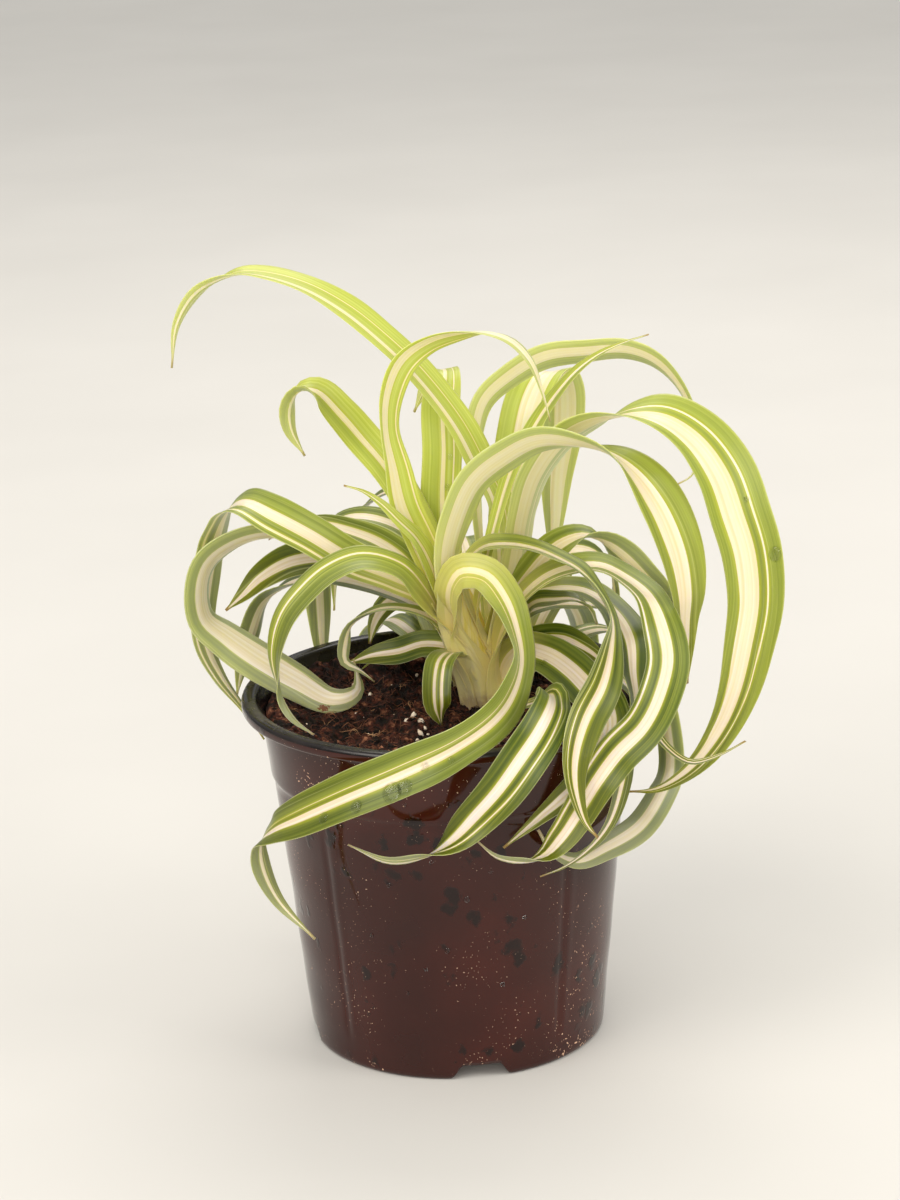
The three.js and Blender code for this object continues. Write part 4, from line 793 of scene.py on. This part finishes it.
def leaf_material():
    """Living strap leaf: waxy cuticle over cream and green tissue, satin, and faintly lit from behind.

    The stripe is |across - lean| measured from the stripe's own half share outwards, a second one is measured
    the same way, and the nearer counts. Streaks of noise, stretched 250:1 down the blade, shift it, and also
    colour the cream and the green on either side of it, each with a young ramp and an old one.
    """
    material, tree, place = new_material("variegated_leaf")
    blade = (node(tree, "Attribute", {}, attribute_name="blade_mm"), "Vector")
    share, look, second = [
        node(tree, "SeparateXYZ", {"Vector": (node(tree, "Attribute", {}, attribute_name=title), "Vector")})
        for title in ("blade_share", "blade_look", "blade_second")]
    # Noise drawn out down the blade: changes a mm across it, changes a mm along it, and how fine
    wander, fine, bands, broad, lines, threads, veins = [
        node(tree, "TexNoise", {"Vector": node(tree, "Mapping", {"Vector": blade, "Scale": (over, down, 1.0)}),
                                "Scale": 1.0, "Detail": detail})
        for over, down, detail in ((0.35, 0.012, 2.0), (1.6, 0.006, 3.0), (0.45, 0.002, 2.0),
                                   (1.3, 0.004, 3.0), (0.9, 0.003, 2.0), (2.4, 0.006, 2.0), (3.5, 0.02, 1.0))]
    blotch = node(tree, "TexNoise", {"Vector": blade, "Scale": 0.35, "Detail": 3.0})
    cells = node(tree, "TexNoise", {"Vector": blade, "Scale": 2.2, "Detail": 2.0})
    # How far out from the nearer stripe's edge, 1 at the margin, with 0.08 taken off for the fine streaks
    off, beside = [
        node(tree, "Math", {0: node(tree, "Math", {0: wander, 1: far, 2: middle}, operation="MULTIPLY_ADD")},
             operation="ABSOLUTE")
        for far, middle in ((STRIPE_WANDER, (look, "Y")), (SECOND_WANDER, (second, "X")))]
    off = node(tree, "MapRange", {"Value": off, "From Min": (look, "X"), "To Min": -0.08, "To Max": 0.92},
               clamp=False)
    beside = node(tree, "Math", {0: beside, 1: 1.5, 2: (second, "Y")}, operation="MULTIPLY_ADD")
    beside = node(tree, "Math", {0: beside, 1: 0.08}, operation="SUBTRACT")
    outward = node(tree, "Math", {0: off, 1: beside}, operation="MINIMUM")
    outward = node(tree, "Math", {0: fine, 1: 0.18, 2: outward}, operation="MULTIPLY_ADD")
    # Age: a leaf is brighter toward its foot, and an old leaf is deeper green throughout
    age = node(tree, "Math", {0: bands, 1: 0.9, 2: (look, "Z")}, operation="MULTIPLY_ADD")
    age = node(tree, "Math", {0: age, 1: 0.17}, operation="SUBTRACT", use_clamp=True)
    cream, tissue = [
        node(tree, "Mix", {"Factor": age, "A": node(tree, "ValToRGB", {"Fac": source}, old),
                           "B": node(tree, "ValToRGB", {"Fac": source}, young)}, data_type="RGBA")
        for source, old, young in (
            (broad, [(0.35, "#dcc8a4"), (0.5, "#e7d5bf"), (0.7, "#efe2d6")],
             [(0.35, "#e6d8a2"), (0.55, "#ebdfb8"), (0.7, "#efe6cc")]),
            (fine, [(0.30, "#324306"), (0.45, "#3f5008"), (0.58, "#4f5c0a"), (0.72, "#6e7518")],
             [(0.30, "#abb74a"), (0.45, "#b4be52"), (0.58, "#bec75e"), (0.72, "#cbd178")]))]
    stain = node(tree, "Math", {0: (second, "Z"), 1: blotch}, operation="MULTIPLY")
    # The one brown scar, where the rim rubbed the broad left leaf: a ball of 1 - distance over its size
    centred = node(tree, "Mapping", {"Vector": place, "Location": -SCAR / SCAR_SIZE, "Scale": 1 / SCAR_SIZE})
    scar = node(tree, "TexGradient", {"Vector": centred}, gradient_type="SPHERICAL")
    scar = node(tree, "Math", {0: (scar, "Fac"), 1: cells}, operation="MULTIPLY")
    # Laid over the green tissue one by one: (what the mask reads, the mask's stops, the colour)
    for source, stops, colour in (
            # Toward the tip it ages to a dull yellow, and beside the cream it is thin and yellow for 0.5 mm
            ((share, "Y"), [(0.55, "#000000"), (0.97, "#8c8c8c")], "#9c932c"),
            (outward, [(0.02, "#d0d0d0"), (0.20, "#000000")], "#b2b428"),
            (outward, [(0.0, "#ffffff"), (0.035, "#000000")], cream),
            # A few pale lines 0.3 to 0.8 mm wide, green threads in the cream, and the pale margin, which is
            # partly a painted highlight along the edge
            (lines, [(0.63, "#000000"), (0.68, "#808080")], "#e4e49a"),
            (threads, [(0.30, "#484848"), (0.38, "#000000")], "#a5b030"),
            # Pale line at the very margin: partly the edge's own pale tissue, partly a painted highlight along
            # the edge
            ((share, "X"), [(0.95, "#000000"), (0.99, "#909090")], "#eceab8"),
            # The blanched foot, tanned where it is buried in the crown, the dried tip, and the lower skin
            ((share, "Y"), [(0.0, "#f4f4f4"), (0.07, "#b4b4b4"), (0.24, "#000000")], "#fbe88e"),
            (stain, [(0.06, "#000000"), (0.36, "#f0f0f0")], "#a8804a"),
            ((share, "Y"), [(0.978, "#000000"), (0.992, "#f0f0f0")], "#8f6a3c"),
            ((share, "Z"), [(0.0, "#000000"), (1.0, "#ffffff")], "#dcdfc2"),
            (scar, [(0.22, "#000000"), (0.28, "#ffffff")], "#6e3a14")):
        mask = node(tree, "ValToRGB", {"Fac": source}, stops)
        tissue = node(tree, "Mix", {"Factor": mask, "A": tissue, "B": colour}, data_type="RGBA")
    relief = node(tree, "Mix", {"Factor": 0.25, "A": veins, "B": cells})
    bump = node(tree, "Bump", {"Height": relief, "Strength": 0.22, "Distance": 0.0003})
    rough = node(tree, "MapRange", {"Value": cells, "To Min": 0.28, "To Max": 0.44})
    shader = node(tree, "BsdfPrincipled", {"Base Color": tissue, "Roughness": rough, "Normal": bump,
                                           "IOR": 1.42, "Subsurface Weight": 0.45, "Subsurface Scale": 1.0,
                                           "Subsurface Radius": (0.0016, 0.0018, 0.0004),
                                           "Sheen Weight": 0.06, "Sheen Roughness": 0.4})
    node(tree, "OutputMaterial", {"Surface": shader})
    return material


leaf_green = leaf_material()
blades = {}
for number, leaf in enumerate(LEAVES):
    blades[leaf[0]] = strap_leaf(*leaf, number, leaf_green)

# --------------------------------------- The crown ---------------------------------------
# Three short shoots, each a roll of leaf bases clasping one another, pale because light doesn't reach them,
# standing in the peat to one side of the pot's middle.
SHEATHS = 4
SHEATH_EDGE = 0.05
SHOOT_RINGS = 60
SHOOT_SIDES = 96


def shoot_surface(route, seed):
    """Rings along the shoot. The radius is a saw wave of the angle: each sheath's edge lies over the next.

    saw = fraction of (sheaths x angle / turn + a slow twist), its drop rounded over a twelfth of its length.
    """
    centre, run = smooth_route(route)
    rows = np.linspace(0, len(run) - 1, SHOOT_RINGS)
    centre = np.column_stack([np.interp(rows, np.arange(len(run)), centre[:, k]) for k in range(4)])
    turn = np.linspace(0, 2 * np.pi, SHOOT_SIDES, endpoint=False)[None, :]
    climb = np.linspace(0, 1, SHOOT_RINGS)[:, None]
    saw = (SHEATHS * turn / (2 * np.pi) + 0.8 * climb + 0.37 * seed) % 1
    saw = saw * (1 - smooth_step(saw, 0.92, 1.0))
    radius = centre[:, 3:] * MM * (1 - SHEATH_EDGE / 2 + SHEATH_EDGE * saw)
    tangent = unit(np.gradient(centre[:, :3], axis=0))
    east = unit(np.cross((0, 1, 0), tangent))
    north = np.cross(tangent, east)
    around = np.cos(turn)[..., None] * east[:, None] + np.sin(turn)[..., None] * north[:, None]
    return centre[:, None, :3] + radius[..., None] * around


def sheath_material():
    """Blanched leaf sheath: waxy, pale yellow with faint green veins, tanned brown where it meets the peat."""
    material, tree, place = new_material("blanched_leaf_sheath")
    stretch = node(tree, "Mapping", {"Vector": place, "Scale": (900.0, 900.0, 30.0)})
    lines = node(tree, "TexNoise", {"Vector": stretch, "Scale": 1.0, "Detail": 3.0})
    body = node(tree, "ValToRGB", {"Fac": lines}, [(0.3, "#fdecaa"), (0.5, "#fae68c"), (0.65, "#f0dc6e"),
                                                   (0.8, "#dacb58")])
    height = node(tree, "SeparateXYZ", {"Vector": place})
    blotch = node(tree, "TexNoise", {"Vector": place, "Scale": 220.0, "Detail": 3.0})
    level = node(tree, "Math", {0: blotch, 1: 0.016, 2: (height, "Z")}, operation="MULTIPLY_ADD")
    level = node(tree, "MapRange", {"Value": level, "From Min": 0.100, "From Max": 0.122})
    mask = node(tree, "ValToRGB", {"Fac": level}, [(0.0, "#ffffff"), (0.8, "#000000")])
    tanned = node(tree, "Mix", {"Factor": mask, "A": body, "B": "#b8945a"}, data_type="RGBA")
    bump = node(tree, "Bump", {"Height": lines, "Strength": 0.3, "Distance": 0.0003})
    shader = node(tree, "BsdfPrincipled", {"Base Color": tanned, "Roughness": 0.42, "Normal": bump,
                                           "Subsurface Weight": 0.6, "Subsurface Scale": 1.0,
                                           "Subsurface Radius": (0.004, 0.004, 0.0012)})
    node(tree, "OutputMaterial", {"Surface": shader})
    return material


shoots = np.stack([shoot_surface(route, seed) for seed, route in enumerate(SHOOTS)])
one_shoot = ring_faces(SHOOT_RINGS, SHOOT_SIDES, capped=True)
crown = make_piece("crown_sheaths", shoots, repeat_faces(one_shoot, SHOOT_RINGS * SHOOT_SIDES, len(SHOOTS)),
                   [sheath_material()])
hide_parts("crown")
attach(crown, "root")

# --------------------------------------- The water ---------------------------------------
# Drops left by watering. They stand as flat beads on the leaves' wax and cling to the pot, whose film they
# don't wet. Those on leaves are placed on the blade, and those on the pot round its wall.
# On leaves: (node, share along, across, radius in mm). On the pot: (angle in degrees, height mm, radius mm)
LEAF_DROPS = [("leaf_front_long", 0.60, -0.2, 1.2), ("leaf_front_long", 0.625, -0.6, 2.0),
              ("leaf_front_long", 0.645, -0.6, 2.6), ("leaf_front_long", 0.685, -0.55, 1.7),
              ("leaf_front_long", 0.73, -0.5, 1.5), ("leaf_front_long", 0.57, -0.4, 1.0),
              ("leaf_right_long", 0.665, -0.72, 1.9), ("leaf_right_long", 0.60, -0.3, 0.8),
              ("leaf_top_left", 0.45, 0.3, 0.9), ("leaf_top_left", 0.52, 0.1, 0.7),
              ("leaf_top_upright", 0.5, 0.3, 1.0), ("leaf_top_upright", 0.58, 0.4, 0.9),
              ("leaf_top_upright", 0.42, 0.2, 0.8), ("leaf_right_12", 0.3, 0.4, 1.3)]
POT_DROPS = [(-104, 88, 0.8), (-97, 70, 0.6), (-112, 62, 0.7), (-86, 58, 0.9), (-78, 66, 0.6),
             (-93, 42, 0.8), (-101, 36, 0.6), (-108, 28, 0.5), (-74, 30, 0.7), (-66, 50, 0.6),
             (-120, 45, 0.6), (-131, 74, 0.5)]
BAND_SLOPE = 0.1
DROP_FORM = np.array([1.0, 1.2, 0.32])


def bead_points():
    """Balls stretched by a fifth one way and pressed to 0.32 of their radius along the outward direction.

    A drop's place and outward direction are read off its leaf's grid, or off the pot's own slope.
    """
    drops = []
    for name, along, across, size in LEAF_DROPS:
        grid = blades[name]
        row, column = int(along * (len(grid) - 1)), int(round((across + 1) / 2 * (COLUMNS - 1)))
        down = grid[row + 1, column] - grid[row - 1, column]
        over = grid[row, min(column + 1, COLUMNS - 1)] - grid[row, max(column - 1, 0)]
        drops.append([*grid[row, column], *unit(np.cross(over, down)), size * MM])
    slope = (STEP_RADIUS - FOOT_RADIUS) / STEP_Z
    for angle, height, size in POT_DROPS:
        height = height * MM
        east, north = math.cos(math.radians(angle)), math.sin(math.radians(angle))
        on_band = BAND_FOOT_RADIUS + BAND_SLOPE * (height - BAND_FOOT_Z)
        radius = FOOT_RADIUS + slope * height if height < STEP_Z else on_band
        drops.append([radius * east, radius * north, height, east, north, -slope, size * MM])
    drops = np.array(drops)
    ball, faces = round_grain(3)
    outward = unit(drops[:, 3:6])
    first = unit(np.cross(outward, (0.3, 0.2, 1.0)))
    form = np.stack([first, np.cross(outward, first), outward], axis=1) * DROP_FORM[:, None]
    points = np.einsum("pk,nkj->npj", ball, form) * drops[:, 6:, None] + drops[:, None, :3]
    return points, repeat_faces(faces, len(ball), len(drops))


def water_material():
    """Clean water: clear, perfectly smooth, IOR 1.333, faintly rippled, in drops thin enough to see through."""
    material, tree, place = new_material("water")
    ripple = node(tree, "TexNoise", {"Vector": place, "Scale": 150.0})
    bump = node(tree, "Bump", {"Height": ripple, "Strength": 0.03, "Distance": 0.0003})
    shader = node(tree, "BsdfPrincipled", {"Base Color": "#fbfdfc", "Roughness": 0.0, "IOR": 1.333,
                                           "Transmission Weight": 1.0, "Alpha": 0.72, "Normal": bump})
    node(tree, "OutputMaterial", {"Surface": shader})
    return material


drops = make_piece("water_drops", *bead_points(), [water_material()])
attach(drops, "root")

# ---------------------------------------- The room ----------------------------------------
# A plain pale floor under pale light from all round, brighter overhead than at the level of the pot, with
# four soft square lamps and a wide soft sun from the front left. The camera stands a metre in front.
CAMERA_AT = (0.0, -0.9489, 0.4191)
CAMERA_YAW = math.radians(-0.104)
CAMERA_PITCH = math.radians(16.866)
CAMERA_ROLL = math.radians(2.0)
CAMERA_LENS = 102.9
FLOOR_REACH = 6.0
# Each lamp is (place, aimed at, width, watts, colour)
LAMPS = [((-0.9, -0.7, 1.2), (0, 0, 0.1), 0.8, 8, "#fff8ee"),
         ((1.1, -0.5, 0.8), (0, 0, 0.12), 0.6, 6, "#fffaf2"),
         ((0.2, 0.9, 1.3), (0, 0, 0.15), 1.0, 9, "#fffaf2"),
         ((0.12, -1.3, 0.42), (0, 0, 0.13), 0.5, 4.5, "#fffaf2")]
SUN_FROM = (-0.45, -1.2, 0.85)
SUN_STRENGTH = 1.05
SUN_WIDTH = math.radians(50)


def floor_material():
    """Matt pale paper, very slightly mottled."""
    material, tree, place = new_material("pale_backing_paper")
    mottle = node(tree, "TexNoise", {"Vector": place, "Scale": 6.0, "Detail": 3.0})
    body = node(tree, "ValToRGB", {"Fac": mottle}, [(0.3, "#d2d0cc"), (0.7, "#d6d4d0")])
    shader = node(tree, "BsdfPrincipled", {"Base Color": body, "Roughness": 0.8})
    node(tree, "OutputMaterial", {"Surface": shader})
    return material


floor_points = FLOOR_REACH * np.array([[-1, -1, 0], [1, -1, 0], [1, 1, 0], [-1, 1, 0]])
floor = make_piece("floor", floor_points, [[0, 1, 2, 3]], [floor_material()])

world = bpy.data.worlds.new("studio")
world.use_nodes = True
room = world.node_tree
room.nodes.clear()
way = node(room, "SeparateXYZ", {"Vector": (node(room, "TexCoord", {}), "Generated")})
glow = node(room, "MapRange", {"Value": (way, "Z"), "From Max": 0.8, "To Min": 0.25, "To Max": 0.82})
node(room, "OutputWorld", {"Surface": node(room, "Background", {"Color": "#f4f3f0", "Strength": glow})})
bpy.context.scene.world = world
bpy.context.scene.view_settings.view_transform = "Standard"


def hang(light, place, target):
    """Puts the light in the scene at place, with its -Z toward target."""
    way = (Vector(target) - Vector(place)).normalized()
    holder = bpy.data.objects.new(light.name, light)
    holder.matrix_world = Matrix.Translation(place) @ way.to_track_quat("-Z", "Y").to_matrix().to_4x4()
    bpy.context.scene.collection.objects.link(holder)


for number, (place, target, width, watts, colour) in enumerate(LAMPS):
    lamp = bpy.data.lights.new(f"soft_lamp_{number}", "AREA")
    lamp.shape = "SQUARE"
    lamp.size = width
    lamp.energy = watts
    lamp.color = linear(colour)[:3]
    hang(lamp, place, target)

sun = bpy.data.lights.new("soft_sky", "SUN")
sun.energy = SUN_STRENGTH
sun.angle = SUN_WIDTH
sun.color = linear("#fffaf0")[:3]
hang(sun, SUN_FROM, (0, 0, 0))

# The camera is rolled about its line of sight, raised from looking straight down, and turned to the side
lens = bpy.data.cameras.new("camera")
lens.sensor_fit = "VERTICAL"
lens.sensor_height = 36.0
lens.lens = CAMERA_LENS
lens.clip_start = 0.05
camera = bpy.data.objects.new("camera", lens)
rolled = Matrix.Rotation(-CAMERA_ROLL, 4, "Z")
raised = Matrix.Rotation(math.pi / 2 - CAMERA_PITCH, 4, "X")
turned = Matrix.Rotation(CAMERA_YAW, 4, "Z")
camera.matrix_world = Matrix.Translation(CAMERA_AT) @ turned @ raised @ rolled
bpy.context.scene.collection.objects.link(camera)
bpy.context.scene.camera = camera
